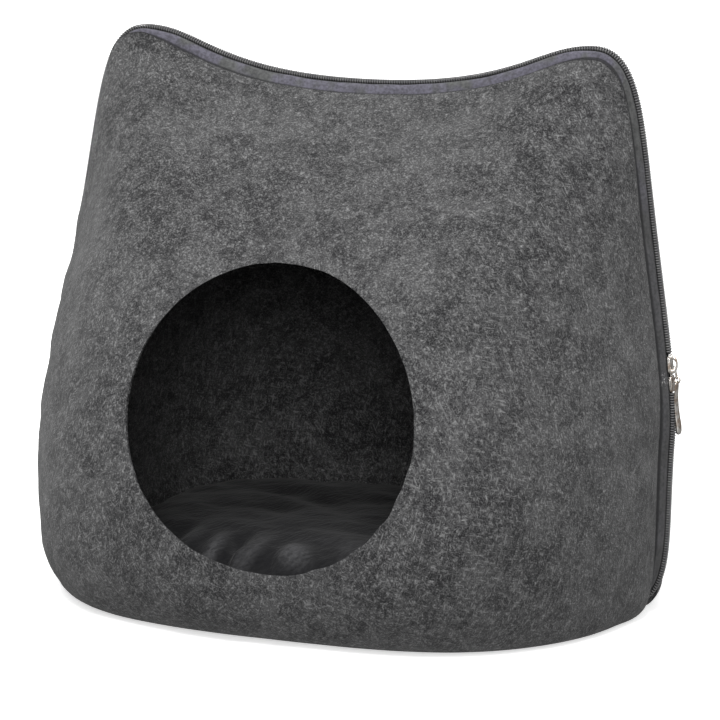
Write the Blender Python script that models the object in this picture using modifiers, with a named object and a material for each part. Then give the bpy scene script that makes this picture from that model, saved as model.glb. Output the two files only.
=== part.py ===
"""Felt cat cave: a stiff felt pouch with an ear at each end of its ridge.

The felt is one piece: front, underside and back. Its edges meet in a zip that
runs from one lower corner up the side, round the ears, along the sagging
ridge and down to the other lower corner. A round opening is cut in the front
and a cushion lies inside. Units are metres, +Z is up, the front faces -Y and
the seam lies in the plane Y = 0.
"""

import math

import bmesh
import bpy
from mathutils import Matrix, Vector

# ---------------------------------------------------------------- dimensions

# Seam line in the plane Y = 0, right half, as cubic curves from the middle of
# the ridge to the lower corner. Each row holds four (x, z) control points.
HALF_WIDTH = 0.190
RIDGE_HEIGHT = 0.298
EAR_HEIGHT = 0.324
EAR_OFFSET = 0.136
BELLY_HEIGHT = 0.110
TUCK_HEIGHT = 0.0078
SHOULDER = (0.171, 0.241)
SEAM_CURVES = (
    ((0.0, RIDGE_HEIGHT), (0.092, RIDGE_HEIGHT), (0.103, EAR_HEIGHT), (EAR_OFFSET, EAR_HEIGHT)),
    ((EAR_OFFSET, EAR_HEIGHT), (0.160, EAR_HEIGHT), (0.163, 0.290), SHOULDER),
    (SHOULDER, (0.181, 0.176), (HALF_WIDTH, 0.149), (HALF_WIDTH, BELLY_HEIGHT)),
    ((HALF_WIDTH, BELLY_HEIGHT), (HALF_WIDTH, 0.048), (0.190, TUCK_HEIGHT), (0.158, TUCK_HEIGHT)),
)

# The felt stops short of the seam: this far in, and this far to each side.
FELT_THICKNESS = 0.004
EDGE_INSET = 0.006
EDGE_DEPTH = 0.012
FOOT_WIDTH = 0.173
FOOT_CURVE = (
    (HALF_WIDTH - EDGE_INSET, BELLY_HEIGHT),
    (HALF_WIDTH - EDGE_INSET, 0.047),
    (0.187, 0.0),
    (FOOT_WIDTH, 0.0),
)

# Depth of the belly: how it leans back to the ridge, how square each level
# is, and how far the underside draws in.
BELLY_DEPTH = 0.165
LEAN_POWER = 2.4
SQUARENESS_FOOT, SQUARENESS_RIDGE = 3.1, 3.5
ROUNDING_FOOT, ROUNDING_RIDGE = 0.52, 0.81
UNDERCUT, UNDERCUT_HEIGHT = 0.038, 0.090

# Opening: an oval as seen from the front, its long axis a little turned.
OPENING_CENTRE = (-0.002, 0.1253)
OPENING_HALF_WIDTH, OPENING_HALF_HEIGHT = 0.0860, 0.0785
OPENING_TURN = math.radians(32)
CUTTER_MIDDLE, CUTTER_DEPTH = -0.135, 0.16

# Zip: tapes that leave the felt from below, and a coil on the ridge.
TAPE_THICKNESS = 0.0009
TAPE_LAP = 0.005
TAPE_GAP = 0.0008
TAPE_DROP = 0.0004
TAPE_INNER, TAPE_FLAT = 0.0016, 0.0054
# Places of the tucked ends over the underside, as shares of the way in.
TUCKED_SHARES = (0.1, 0.55, 1.0)
COIL_HALF_WIDTH = 0.0028
COIL_TOP, COIL_BOTTOM = 0.0021, 0.0001

# Sliders: they meet head to head at this height on the right-hand seam. Below,
# the first number of a pair or row runs out of the seam or across it.
SLIDERS_MEET = 0.1403
UPPER_LENGTH, LOWER_LENGTH = 0.0118, 0.0096
SLIDER_GAP = 0.0004
PLATE_OUTER, PLATE_INNER = (0.0020, 0.0029), (-0.0029, -0.0020)
PLATE_OUTLINE = ((0.0032, 0.0), (0.0048, 0.22), (0.0045, 0.5), (0.0039, 0.93), (0.0033, 1.0))
BRIDGE_HALF_WIDTH, BRIDGE_SPAN = 0.0011, (0.10, 0.48)
BAIL_HALF_WIDTH = 0.0007
BAIL_CENTRE, BAIL_HALF = (0.0025, 0.0063), (0.0037, 0.0046)
BAIL_HOLE_CENTRE, BAIL_HOLE_HALF = (0.0045, 0.0063), (0.00095, 0.0031)
# The arch is cut off inside the outer plate, within this block across and along.
TRIM_DEPTH, TRIM_HALF_WIDTH, TRIM_TOP = 0.01, 0.01, 0.02

# Pull: a wire link through the bail, a ring and a tab with a thick lower end.
WIRE = 0.00042
LINK_TOP, LINK_END, LINK_HALF_WIDTH = (0.0045, 0.0047), (0.0055, -0.0025), 0.0015
RING_CENTRE, RING_RADIUS = (0.0055, -0.0030), 0.00178
TAB_EYE, TAB_EYE_DEPTH = 0.00082, 0.01
# Half widths and (inner, outer) faces of the tab at depths below the sliders.
TAB_SECTIONS = (
    (-0.0033, 0.0005, 0.0051, 0.0059),
    (-0.0036, 0.0011, 0.0051, 0.0059),
    (-0.0041, 0.0016, 0.0051, 0.0059),
    (-0.0050, 0.0019, 0.0050, 0.0059),
    (-0.0075, 0.0021, 0.0046, 0.0056),
    (-0.0130, 0.0023, 0.0042, 0.0051),
    (-0.0190, 0.0025, 0.0043, 0.0053),
    (-0.0250, 0.0026, 0.0046, 0.0061),
    (-0.0295, 0.0027, 0.0048, 0.0069),
    (-0.0330, 0.0026, 0.0049, 0.0070),
    (-0.0341, 0.0020, 0.0052, 0.0068),
    (-0.0346, 0.0011, 0.0054, 0.0066),
)

# Cushion on the floor of the cave. A sphere is spread into the pad: its top
# keeps an upright edge and a crown, and its underside is drawn in and flat.
CUSHION_HALF_WIDTH, CUSHION_HALF_DEPTH = 0.153, 0.124
CUSHION_HEIGHT = 0.034
CUSHION_FLOOR = FELT_THICKNESS + 0.0006
PAD_SQUARENESS, PAD_EDGE = 3.0, 0.45
PAD_SPREAD, PAD_CROWN = 0.45, 0.8
PAD_UNDERSIDE, PAD_DRAW = -0.2, 0.93

# Mesh resolution.
COLUMNS = 30
WALL_ROWS = 20
SIDE_SWELL, RIDGE_SWELL = 0.12, 0.12
EAR_PASSES = 25
BASE_ROWS = 4
CURVE_STEPS = 60
OPENING_SIDES = 56
WIRE_STEPS = 20
ROD_SIDES = 20
EYE_SIDES = 16
PAD_SEGMENTS, PAD_RINGS = 28, 12

COLLECTION = "felt_cat_cave"


# ------------------------------------------------------------------- helpers

def collection(name, hidden=False):
    """Make a collection in the scene."""
    made = bpy.data.collections.new(name)
    bpy.context.scene.collection.children.link(made)
    made.hide_render = hidden
    return made


def material(name, colour, roughness, metallic=0.0):
    """A Principled material of one colour."""
    made = bpy.data.materials.new(name)
    made.use_nodes = True
    shader = made.node_tree.nodes["Principled BSDF"]
    shader.inputs["Base Color"].default_value = (*colour, 1.0)
    shader.inputs["Roughness"].default_value = roughness
    shader.inputs["Metallic"].default_value = metallic
    return made


def mesh_object(name, mesh, place, finish=None):
    """Put a mesh in a collection under a name, shaded smooth."""
    made = bpy.data.objects.new(name, mesh)
    place.objects.link(made)
    if finish:
        mesh.materials.append(finish)
    mesh.shade_smooth()
    return made


def from_bmesh(name, bm, place, finish=None):
    """Turn a bmesh into an object."""
    mesh = bpy.data.meshes.new(name)
    bm.to_mesh(mesh)
    bm.free()
    return mesh_object(name, mesh, place, finish)


def grid_object(name, rows, place, finish=None):
    """An open sheet through rows of points, one face between four points."""
    bm = bmesh.new()
    lines = [[bm.verts.new(point) for point in row] for row in rows]
    for upper, lower in zip(lines, lines[1:]):
        for i in range(len(upper) - 1):
            bm.faces.new((upper[i], lower[i], lower[i + 1], upper[i + 1]))
    return from_bmesh(name, bm, place, finish)


def thicken(sheet, thickness):
    """Give a sheet its thickness, on the side that its faces turn away from."""
    solid = sheet.modifiers.new("thickness", "SOLIDIFY")
    solid.thickness = thickness
    solid.offset = -1.0
    solid.use_even_offset = True


def boolean(target, operation, other):
    """Cut or join with another object."""
    step = target.modifiers.new(operation.lower(), "BOOLEAN")
    step.operation = operation
    step.solver = "EXACT"
    step.object = other


def as_tool(tool):
    """Mark an object as a cutter or a piece that another one takes in."""
    tool.hide_render = True
    tool.display_type = "WIRE"


def bezier(points, steps):
    """Points of a cubic curve, from its four control points."""
    found = []
    for i in range(steps + 1):
        t = i / steps
        weights = ((1 - t) ** 3, 3 * t * (1 - t) ** 2, 3 * t * t * (1 - t), t ** 3)
        found.append(tuple(sum(w * p[axis] for w, p in zip(weights, points)) for axis in (0, 1)))
    return found


def chain(curves):
    """One line through several curves that follow each other."""
    line = bezier(curves[0], CURVE_STEPS)
    for curve in curves[1:]:
        line += bezier(curve, CURVE_STEPS)[1:]
    return line


def inset(line, distance):
    """Shift a line towards the body, at right angles to its run."""
    shifted = []
    for i, (x, z) in enumerate(line):
        before, after = line[max(i - 1, 0)], line[min(i + 1, len(line) - 1)]
        run = Vector((after[0] - before[0], after[1] - before[1])).normalized()
        shifted.append((x + run.y * distance, z - run.x * distance))
    return shifted


def resample(line, fractions):
    """Points at fractions of a line's length."""
    lengths = [0.0]
    for a, b in zip(line, line[1:]):
        lengths.append(lengths[-1] + math.dist(a, b))
    found = []
    i = 0
    for fraction in fractions:
        goal = fraction * lengths[-1]
        while i < len(line) - 2 and lengths[i + 1] < goal:
            i += 1
        share = min(max((goal - lengths[i]) / (lengths[i + 1] - lengths[i]), 0.0), 1.0)
        found.append(tuple(p + share * (q - p) for p, q in zip(line[i], line[i + 1])))
    return found


def interpolate(line, key, at, value):
    """Value of a line's coordinate where another coordinate has a value."""
    ordered = sorted(line, key=lambda point: point[at])
    if key <= ordered[0][at]:
        return ordered[0][value]
    for a, b in zip(ordered, ordered[1:]):
        if key <= b[at]:
            share = (key - a[at]) / max(b[at] - a[at], 1e-9)
            return a[value] + share * (b[value] - a[value])
    return ordered[-1][value]


def blend(a, b, share):
    """Value between two values."""
    return a + (b - a) * share


# --------------------------------------------------------------- felt's shape

# Outline of the felt, right half: the ridge with half of the ear's round end,
# and the side from there to the foot.
UPPER_LINE = inset(chain(SEAM_CURVES[:3]), EDGE_INSET)
FELT_LINE = UPPER_LINE + bezier(FOOT_CURVE, CURVE_STEPS)[1:]
EAR_TIP = CURVE_STEPS
EAR_BEND = CURVE_STEPS + CURVE_STEPS // 2
RIDGE_LINE = FELT_LINE[:EAR_TIP + 1]
SIDE_LINE = FELT_LINE[EAR_TIP:]


def belly(x, z):
    """Distance of the felt's outer face from the seam's plane."""
    across = min(abs(x) / interpolate(SIDE_LINE, z, 1, 0), 1.0)
    up = min(max(z / interpolate(RIDGE_LINE, abs(x), 0, 1), 0.0), 1.0)
    squareness = blend(SQUARENESS_FOOT, SQUARENESS_RIDGE, up)
    rounding = blend(ROUNDING_FOOT, ROUNDING_RIDGE, up)
    level = BELLY_DEPTH * (1 - up ** LEAN_POWER)
    if z < UNDERCUT_HEIGHT:
        level -= UNDERCUT * (1 - math.sqrt(1 - (1 - z / UNDERCUT_HEIGHT) ** 2))
    return EDGE_DEPTH + max(level, 0.0) * (1 - across ** squareness) ** rounding


def fractions(steps, swell, turns):
    """Fractions from 0 to 1 that crowd at the end, or at both ends."""
    found = []
    for i in range(steps + 1):
        angle = turns * math.pi * i / steps
        found.append(i / steps + swell * math.sin(angle) * (1 if turns == 1 else -1))
    return found


def wall_points():
    """Grid of points over the felt's front: columns from left to right, each
    from the foot to the ridge."""
    half = COLUMNS // 2
    heights = fractions(WALL_ROWS, SIDE_SWELL, 2)
    widths = [math.sin(math.pi / 2 * i / half) for i in range(half + 1)]
    side = resample(FELT_LINE[EAR_BEND:][::-1], heights)
    ridge = resample(FELT_LINE[:EAR_BEND + 1], fractions(half, RIDGE_SWELL, 1))
    ear_x, ear_z = ridge[-1]
    right = []
    for share, (top_x, top_z) in zip(widths, ridge):
        foot = FOOT_WIDTH * share
        right.append([
            [
                side_x * share + blend(foot, top_x, up) - blend(FOOT_WIDTH, ear_x, up) * share,
                side_z + up * (top_z - ear_z),
            ]
            for up, (side_x, side_z) in zip(heights, side)
        ])
    for _ in range(EAR_PASSES):
        for i in range(1, half):
            for j in range(1, WALL_ROWS):
                near = (right[i - 1][j], right[i + 1][j], right[i][j - 1], right[i][j + 1])
                share = (i / half * j / WALL_ROWS) ** 3
                for axis in (0, 1):
                    mean = sum(point[axis] for point in near) / 4
                    right[i][j][axis] = blend(right[i][j][axis], mean, share)
    left = [[(-x, z) for x, z in column] for column in right[:0:-1]]
    return [[Vector((x, -belly(x, z), z)) for x, z in column] for column in left + right]


def felt_rows():
    """Rows of points over the whole felt, from the front's ridge down, under
    the cave and up the back."""
    walls = list(reversed(list(zip(*wall_points()))))
    foot = walls[-1]
    base = [
        [(x, y * (1 - 2 * row / BASE_ROWS), 0.0) for x, y, _ in foot]
        for row in range(1, BASE_ROWS)
    ]
    back = [[(x, -y, z) for x, y, z in row] for row in reversed(walls)]
    return walls + base + back


def felt_body(place, finish, tools):
    """The felt, with the round opening cut in its front."""
    felt = grid_object("felt_body", felt_rows(), place, finish)
    thicken(felt, FELT_THICKNESS)
    bm = bmesh.new()
    bmesh.ops.create_cone(bm, cap_ends=True, segments=OPENING_SIDES, radius1=1.0, radius2=1.0,
                          depth=CUTTER_DEPTH)
    shape = (
        Matrix.Translation((OPENING_CENTRE[0], CUTTER_MIDDLE, OPENING_CENTRE[1]))
        @ Matrix.Rotation(OPENING_TURN, 4, "Y")
        @ Matrix.Diagonal((OPENING_HALF_WIDTH, 1.0, OPENING_HALF_HEIGHT, 1.0))
        @ Matrix.Rotation(math.radians(90), 4, "X")
    )
    bm.transform(shape)
    cutter = from_bmesh("opening_cutter", bm, tools)
    as_tool(cutter)
    boolean(felt, "DIFFERENCE", cutter)
    return felt


# ------------------------------------------------------------------------ zip

def run_of(line, i):
    """Direction of a line at one of its points, in the plane Y = 0."""
    before, after = line[max(i - 1, 0)], line[min(i + 1, len(line) - 1)]
    return Vector((after[0] - before[0], 0.0, after[1] - before[1])).normalized()


def inward_of(run):
    """Direction into the body, at right angles to a run in the plane Y = 0."""
    return Vector((run.z, 0.0, -run.x))


def zip_stations():
    """Places along the zip, from the middle of the ridge to the right-hand end
    tucked in over the underside. Each is a point on the seam, the inward
    direction there, a point on the felt's edge and the next one in the felt."""
    seam_line = chain(SEAM_CURVES)
    grid = wall_points()
    middle = COLUMNS // 2
    pairs = [(column[-1], column[-2]) for column in grid[middle:-1]]
    pairs.append((grid[-1][-1], grid[-2][-2]))
    pairs += list(zip(grid[-1], grid[-2]))[-2:0:-1]
    for share in TUCKED_SHARES:
        x = blend(FOOT_WIDTH, SEAM_CURVES[-1][-1][0], share)
        pairs.append((Vector((x, -EDGE_DEPTH, 0)), Vector((x, -2 * EDGE_DEPTH, 0))))
    stations = [(Vector((0, 0, RIDGE_HEIGHT)), Vector((0, 0, -1)), *pairs[0])]
    for edge, beside in pairs[1:]:
        goal = (edge.x, max(edge.z, TUCK_HEIGHT))
        k = min(range(len(seam_line)), key=lambda j: math.dist(seam_line[j], goal))
        seam = Vector((seam_line[k][0], 0.0, seam_line[k][1]))
        stations.append((seam, inward_of(run_of(seam_line, k)), edge, beside))
    return stations


def tape_sections():
    """Sections of the front tape at the places along the zip, each with four
    points: under the coil, at the end of the flat part, under the felt's edge
    and at the tape's own hidden edge."""
    stations = zip_stations()
    edges = [station[2] for station in stations]
    sections = []
    for i, (seam, inward, edge, beside) in enumerate(stations):
        lap = (beside - edge).normalized()
        run = edges[min(i + 1, len(edges) - 1)] - edges[max(i - 1, 0)]
        if i == 0:
            run = Vector((1, 0, 0))
        below = run.cross(lap).normalized() * (FELT_THICKNESS + TAPE_GAP)
        top = seam + inward * TAPE_DROP
        sections.append((
            top + Vector((0, -TAPE_INNER, 0)),
            top + Vector((0, -TAPE_FLAT, 0)),
            edge + below,
            edge + below + lap * TAPE_LAP,
        ))
    return sections


def zip_tape(name, side, place, finish):
    """One tape along the whole seam; side is -1 in front and 1 at the back."""
    half = tape_sections()
    lines = []
    for k in range(len(half[0])):
        right = [Vector((s[k].x, -side * s[k].y, s[k].z)) for s in half]
        left = [Vector((-p.x, p.y, p.z)) for p in right[:0:-1]]
        lines.append(left + right)
    if side > 0:
        lines.reverse()
    tape = grid_object(name, lines, place, finish)
    thicken(tape, TAPE_THICKNESS)
    return tape


def coil_line():
    """Middle of the coil, from its left end over the ridge to its right end."""
    rise = (COIL_TOP + COIL_BOTTOM) / 2
    middles = [seam - inward * rise for seam, inward, _, _ in zip_stations()]
    right = [(point.x, point.z) for point in middles]
    return [(-x, z) for x, z in right[:0:-1]] + right


def coil_piece(name, line, place, finish):
    """A flattened tube along part of the seam."""
    radius = (COIL_TOP - COIL_BOTTOM) / 2
    curve = bpy.data.curves.new(name, "CURVE")
    curve.dimensions = "3D"
    curve.bevel_depth = radius
    curve.bevel_resolution = 1
    curve.use_fill_caps = True
    spline = curve.splines.new("POLY")
    spline.points.add(len(line) - 1)
    for point, (x, z) in zip(spline.points, line):
        point.co = (x, 0.0, z, 1.0)
    curve.materials.append(finish)
    coil = bpy.data.objects.new(name, curve)
    place.objects.link(coil)
    coil.scale.y = COIL_HALF_WIDTH / radius
    return coil


def zip_coils(place, finish):
    """The coil on each side of the two sliders."""
    line = coil_line()
    high = SLIDERS_MEET + UPPER_LENGTH + SLIDER_GAP
    low = SLIDERS_MEET - LOWER_LENGTH - SLIDER_GAP
    right = [p for p in line if p[0] > EAR_OFFSET]
    long_piece = [p for p in line if p[0] < 0 or p[1] > high]
    short_piece = [p for p in line if p[0] > 0 and p[1] < low]
    long_piece.append((interpolate(right, high, 1, 0), high))
    short_piece.insert(0, (interpolate(right, low, 1, 0), low))
    coil_piece("zip_coil_long", long_piece, place, finish)
    coil_piece("zip_coil_short", short_piece, place, finish)


# -------------------------------------------------------------------- sliders

def slider_frame():
    """Frame where the sliders meet: X out of the seam, Z up along it."""
    seam = [p for p in chain(SEAM_CURVES) if p[0] > EAR_OFFSET]
    x_low = interpolate(seam, SLIDERS_MEET - LOWER_LENGTH, 1, 0)
    x_high = interpolate(seam, SLIDERS_MEET + UPPER_LENGTH, 1, 0)
    lean = math.atan2(x_high - x_low, LOWER_LENGTH + UPPER_LENGTH)
    origin = Matrix.Translation((interpolate(seam, SLIDERS_MEET, 1, 0), 0.0, SLIDERS_MEET))
    return origin @ Matrix.Rotation(lean, 4, "Y")


def prism(name, outline, faces, place, finish):
    """A plate with an outline of (y, z) points between two values of x."""
    bm = bmesh.new()
    inner, outer = faces
    face = bm.faces.new([bm.verts.new((inner, y, z)) for y, z in outline])
    side = bmesh.ops.extrude_face_region(bm, geom=[face])
    moved = [v for v in side["geom"] if isinstance(v, bmesh.types.BMVert)]
    bmesh.ops.translate(bm, verts=moved, vec=(outer - inner, 0, 0))
    bmesh.ops.recalc_face_normals(bm, faces=bm.faces)
    return from_bmesh(name, bm, place, finish)


def rod(name, centre, half, half_width, place, finish=None):
    """An oval rod across the seam, with its centre and half axes in (x, z)."""
    bm = bmesh.new()
    bmesh.ops.create_cone(bm, cap_ends=True, segments=ROD_SIDES, radius1=1.0, radius2=1.0, depth=2.0)
    bm.transform(
        Matrix.Translation((centre[0], 0, centre[1]))
        @ Matrix.Diagonal((half[0], half_width, half[1], 1))
        @ Matrix.Rotation(math.radians(90), 4, "X")
    )
    return from_bmesh(name, bm, place, finish)


def slider(name, length, up, place, tools, finish):
    """Two plates joined by a bridge at the wide end; up is 1 or -1 along the
    seam, away from the place where the sliders meet."""
    start = SLIDER_GAP / 2
    span = length - start
    right = [(y, up * (start + z * span)) for y, z in PLATE_OUTLINE]
    outline = right + [(-y, z) for y, z in reversed(right)]
    body = prism(name, outline, PLATE_OUTER, place, finish)
    low, high = (up * (start + share * span) for share in BRIDGE_SPAN)
    width = BRIDGE_HALF_WIDTH
    foot = [(-width, low), (width, low), (width, high), (-width, high)]
    middle = [sum(plate) / 2 for plate in (PLATE_INNER, PLATE_OUTER)]
    joined = [
        prism(name + "_inner_plate", outline, PLATE_INNER, tools, finish),
        prism(name + "_bridge", foot, middle, tools, finish),
    ]
    for piece in joined:
        boolean(body, "UNION", piece)
    for piece in [body] + joined:
        piece.matrix_world = slider_frame()
    for piece in joined:
        as_tool(piece)
    return body


def bail(body, tools, finish):
    """The arch on the upper slider that the pull hangs from."""
    arch = rod("bail", BAIL_CENTRE, BAIL_HALF, BAIL_HALF_WIDTH, tools, finish)
    hole = rod("bail_hole", BAIL_HOLE_CENTRE, BAIL_HOLE_HALF, 4 * BAIL_HALF_WIDTH, tools)
    boolean(arch, "DIFFERENCE", hole)
    low, side = -TRIM_HALF_WIDTH, TRIM_HALF_WIDTH
    block = ((-side, low), (side, low), (side, TRIM_TOP), (-side, TRIM_TOP))
    trim = prism("bail_trim", block, (-TRIM_DEPTH, sum(PLATE_OUTER) / 2), tools, finish)
    boolean(arch, "DIFFERENCE", trim)
    boolean(body, "UNION", arch)
    for piece in (arch, hole, trim):
        piece.matrix_world = slider_frame()
        as_tool(piece)


def wire_loop(name, half_width, half_length, place, finish):
    """A closed wire loop with round ends, in its own YZ plane."""
    curve = bpy.data.curves.new(name, "CURVE")
    curve.dimensions = "3D"
    curve.bevel_depth = WIRE
    curve.bevel_resolution = 2
    spline = curve.splines.new("POLY")
    spline.use_cyclic_u = True
    spline.points.add(WIRE_STEPS - 1)
    straight = half_length - half_width
    for i, point in enumerate(spline.points):
        angle = 2 * math.pi * (i + 0.5) / WIRE_STEPS
        y, z = half_width * math.cos(angle), half_width * math.sin(angle)
        point.co = (0.0, y, z + math.copysign(straight, z), 1.0)
    curve.materials.append(finish)
    loop = bpy.data.objects.new(name, curve)
    place.objects.link(loop)
    return loop


def pull(place, tools, finish):
    """Link, ring and tab that hang from the upper slider's bail."""
    frame = slider_frame()
    (top_x, top_z), (end_x, end_z) = LINK_TOP, LINK_END
    link = wire_loop("pull_link", LINK_HALF_WIDTH, math.dist(LINK_TOP, LINK_END) / 2, place, finish)
    middle = Matrix.Translation(((top_x + end_x) / 2, 0, (top_z + end_z) / 2))
    swing = math.atan2(top_x - end_x, top_z - end_z)
    link.matrix_world = frame @ middle @ Matrix.Rotation(swing, 4, "Y")

    ring = wire_loop("pull_ring", RING_RADIUS, RING_RADIUS, place, finish)
    centre = Matrix.Translation((RING_CENTRE[0], 0, RING_CENTRE[1]))
    ring.matrix_world = frame @ centre @ Matrix.Rotation(math.radians(90), 4, "Z")

    bm = bmesh.new()
    corners = [
        [bm.verts.new(c) for c in ((low, -w, z), (high, -w, z), (high, w, z), (low, w, z))]
        for z, w, low, high in TAB_SECTIONS
    ]
    for upper, lower in zip(corners, corners[1:]):
        for k in range(4):
            bm.faces.new((upper[k], upper[k - 1], lower[k - 1], lower[k]))
    bm.faces.new(corners[0])
    bm.faces.new(reversed(corners[-1]))
    bmesh.ops.recalc_face_normals(bm, faces=bm.faces)
    tab = from_bmesh("pull_tab", bm, place, finish)
    eye_bm = bmesh.new()
    bmesh.ops.create_cone(eye_bm, cap_ends=True, segments=EYE_SIDES, radius1=TAB_EYE,
                          radius2=TAB_EYE, depth=TAB_EYE_DEPTH)
    eye_bm.transform(
        Matrix.Translation((RING_CENTRE[0], 0, RING_CENTRE[1] - RING_RADIUS))
        @ Matrix.Rotation(math.radians(90), 4, "Y")
    )
    eye = from_bmesh("tab_eye", eye_bm, tools)
    boolean(tab, "DIFFERENCE", eye)
    as_tool(eye)
    for piece in (tab, eye):
        piece.matrix_world = frame


# -------------------------------------------------------------------- cushion

def cushion(place, finish):
    """A filled pad with a crown and drawn-in sides, flat where it lies."""
    bm = bmesh.new()
    bmesh.ops.create_uvsphere(bm, u_segments=PAD_SEGMENTS, v_segments=PAD_RINGS, radius=1.0)
    for vertex in bm.verts:
        x, y, z = vertex.co
        reach = math.hypot(x, y)
        if reach > 1e-6:
            square = abs(x / reach) ** PAD_SQUARENESS + abs(y / reach) ** PAD_SQUARENESS
            grow = square ** (-1 / PAD_SQUARENESS)
            full = reach ** PAD_SPREAD
            x, y = x / reach * grow * full, y / reach * grow * full
        is_top = z > PAD_UNDERSIDE
        rise = max(z, 0.0) ** PAD_CROWN * (1 - PAD_EDGE) + PAD_EDGE if is_top else 0.0
        draw = 1.0 if is_top else PAD_DRAW
        vertex.co = (
            x * CUSHION_HALF_WIDTH * draw,
            y * CUSHION_HALF_DEPTH * draw,
            CUSHION_FLOOR + CUSHION_HEIGHT * rise,
        )
    return from_bmesh("cushion", bm, place, finish)


# ----------------------------------------------------------------------- main

def main():
    """Build every piece."""
    for leftover in list(bpy.data.objects):
        bpy.data.objects.remove(leftover, do_unlink=True)
    place = collection(COLLECTION)
    tools = collection("cutters", hidden=True)
    felt = material("grey_felt", (0.10, 0.10, 0.105), 0.95)
    tape = material("zip_tape", (0.12, 0.12, 0.14), 0.8)
    coil = material("zip_coil", (0.04, 0.04, 0.045), 0.5)
    metal = material("nickel", (0.75, 0.73, 0.70), 0.2, 1.0)
    plush = material("dark_plush", (0.03, 0.03, 0.033), 1.0)

    felt_body(place, felt, tools)
    zip_tape("zip_tape_front", -1, place, tape)
    zip_tape("zip_tape_back", 1, place, tape)
    zip_coils(place, coil)
    upper = slider("slider_upper", UPPER_LENGTH, 1, place, tools, metal)
    bail(upper, tools, metal)
    slider("slider_lower", LOWER_LENGTH, -1, place, tools, metal)
    pull(place, tools, metal)
    cushion(place, plush)


main()
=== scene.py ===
"""Looks of a felt cat cave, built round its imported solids.

Each sub-assembly has a class: the felt pouch, the zip's tapes and coil, the
sliders with their pull, and the cushion. A class holds its real sizes, builds
its mesh from them and dresses it in a finish. Units are metres, +Z is up, the
front faces -Y and the zip lies in the plane Y = 0.
"""

import logging
import math
from dataclasses import dataclass, field
from enum import Enum
from functools import cached_property
from typing import Any, Optional, Sequence, Union

import bmesh
import bpy
import numpy as np
from mathutils import Matrix, Vector
from mathutils.kdtree import KDTree


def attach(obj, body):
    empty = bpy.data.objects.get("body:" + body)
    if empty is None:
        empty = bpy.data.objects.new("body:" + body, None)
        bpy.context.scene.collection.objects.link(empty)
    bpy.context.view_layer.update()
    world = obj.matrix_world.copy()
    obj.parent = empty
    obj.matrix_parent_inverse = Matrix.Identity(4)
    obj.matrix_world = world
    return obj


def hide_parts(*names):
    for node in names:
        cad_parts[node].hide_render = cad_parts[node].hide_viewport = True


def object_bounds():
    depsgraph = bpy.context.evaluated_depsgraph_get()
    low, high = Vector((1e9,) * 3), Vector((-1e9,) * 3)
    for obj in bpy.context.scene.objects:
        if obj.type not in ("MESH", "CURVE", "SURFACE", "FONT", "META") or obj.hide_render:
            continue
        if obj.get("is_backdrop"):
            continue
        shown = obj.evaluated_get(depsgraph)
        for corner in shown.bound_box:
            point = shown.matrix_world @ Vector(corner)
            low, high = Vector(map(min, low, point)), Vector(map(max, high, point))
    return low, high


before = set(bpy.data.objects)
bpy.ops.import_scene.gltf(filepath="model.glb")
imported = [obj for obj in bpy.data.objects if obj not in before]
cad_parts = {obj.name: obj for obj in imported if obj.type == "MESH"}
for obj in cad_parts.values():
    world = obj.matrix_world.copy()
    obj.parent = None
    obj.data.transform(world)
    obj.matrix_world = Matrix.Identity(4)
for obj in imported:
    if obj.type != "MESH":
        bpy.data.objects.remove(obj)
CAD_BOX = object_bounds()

LOG = logging.getLogger("felt_cat_cave")
BODY = "root"

Triple = tuple[float, float, float]
Colour = Triple
Pair = tuple[float, float]
Points = np.ndarray


# ------------------------------------------------------------ shader toolkit

class Value:
    """A node's output whose arithmetic adds Math nodes to its tree."""

    def __init__(self, graph: "Graph", socket: bpy.types.NodeSocket) -> None:
        """Wrap a socket of a graph."""
        self.graph = graph
        self.socket = socket

    def _math(self, operation: str, *operands: "Operand") -> "Value":
        """Add one Math node on some operands."""
        return self.graph.math(operation, *operands)

    def __add__(self, other: "Operand") -> "Value":
        """Sum."""
        return self._math("ADD", self, other)

    def __radd__(self, other: "Operand") -> "Value":
        """Sum, from the right."""
        return self._math("ADD", other, self)

    def __sub__(self, other: "Operand") -> "Value":
        """Difference."""
        return self._math("SUBTRACT", self, other)

    def __rsub__(self, other: "Operand") -> "Value":
        """Difference, from the right."""
        return self._math("SUBTRACT", other, self)

    def __mul__(self, other: "Operand") -> "Value":
        """Product."""
        return self._math("MULTIPLY", self, other)

    def __rmul__(self, other: "Operand") -> "Value":
        """Product, from the right."""
        return self._math("MULTIPLY", other, self)

    def clamped(self) -> "Value":
        """The value held between 0 and 1."""
        return self.graph.node("ShaderNodeClamp", inputs={"Value": self})

    def between(self, low: float, high: float) -> "Value":
        """Find where the value lies between two numbers.

        Args:
            low: The number that gives 0.
            high: The number that gives 1; it may be the lower one.

        Returns:
            A share that eases in and out.
        """
        return self.graph.node(
            "ShaderNodeMapRange",
            {"interpolation_type": "SMOOTHSTEP"},
            {"Value": self, "From Min": low, "From Max": high},
        )


Operand = Union[Value, float]


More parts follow.
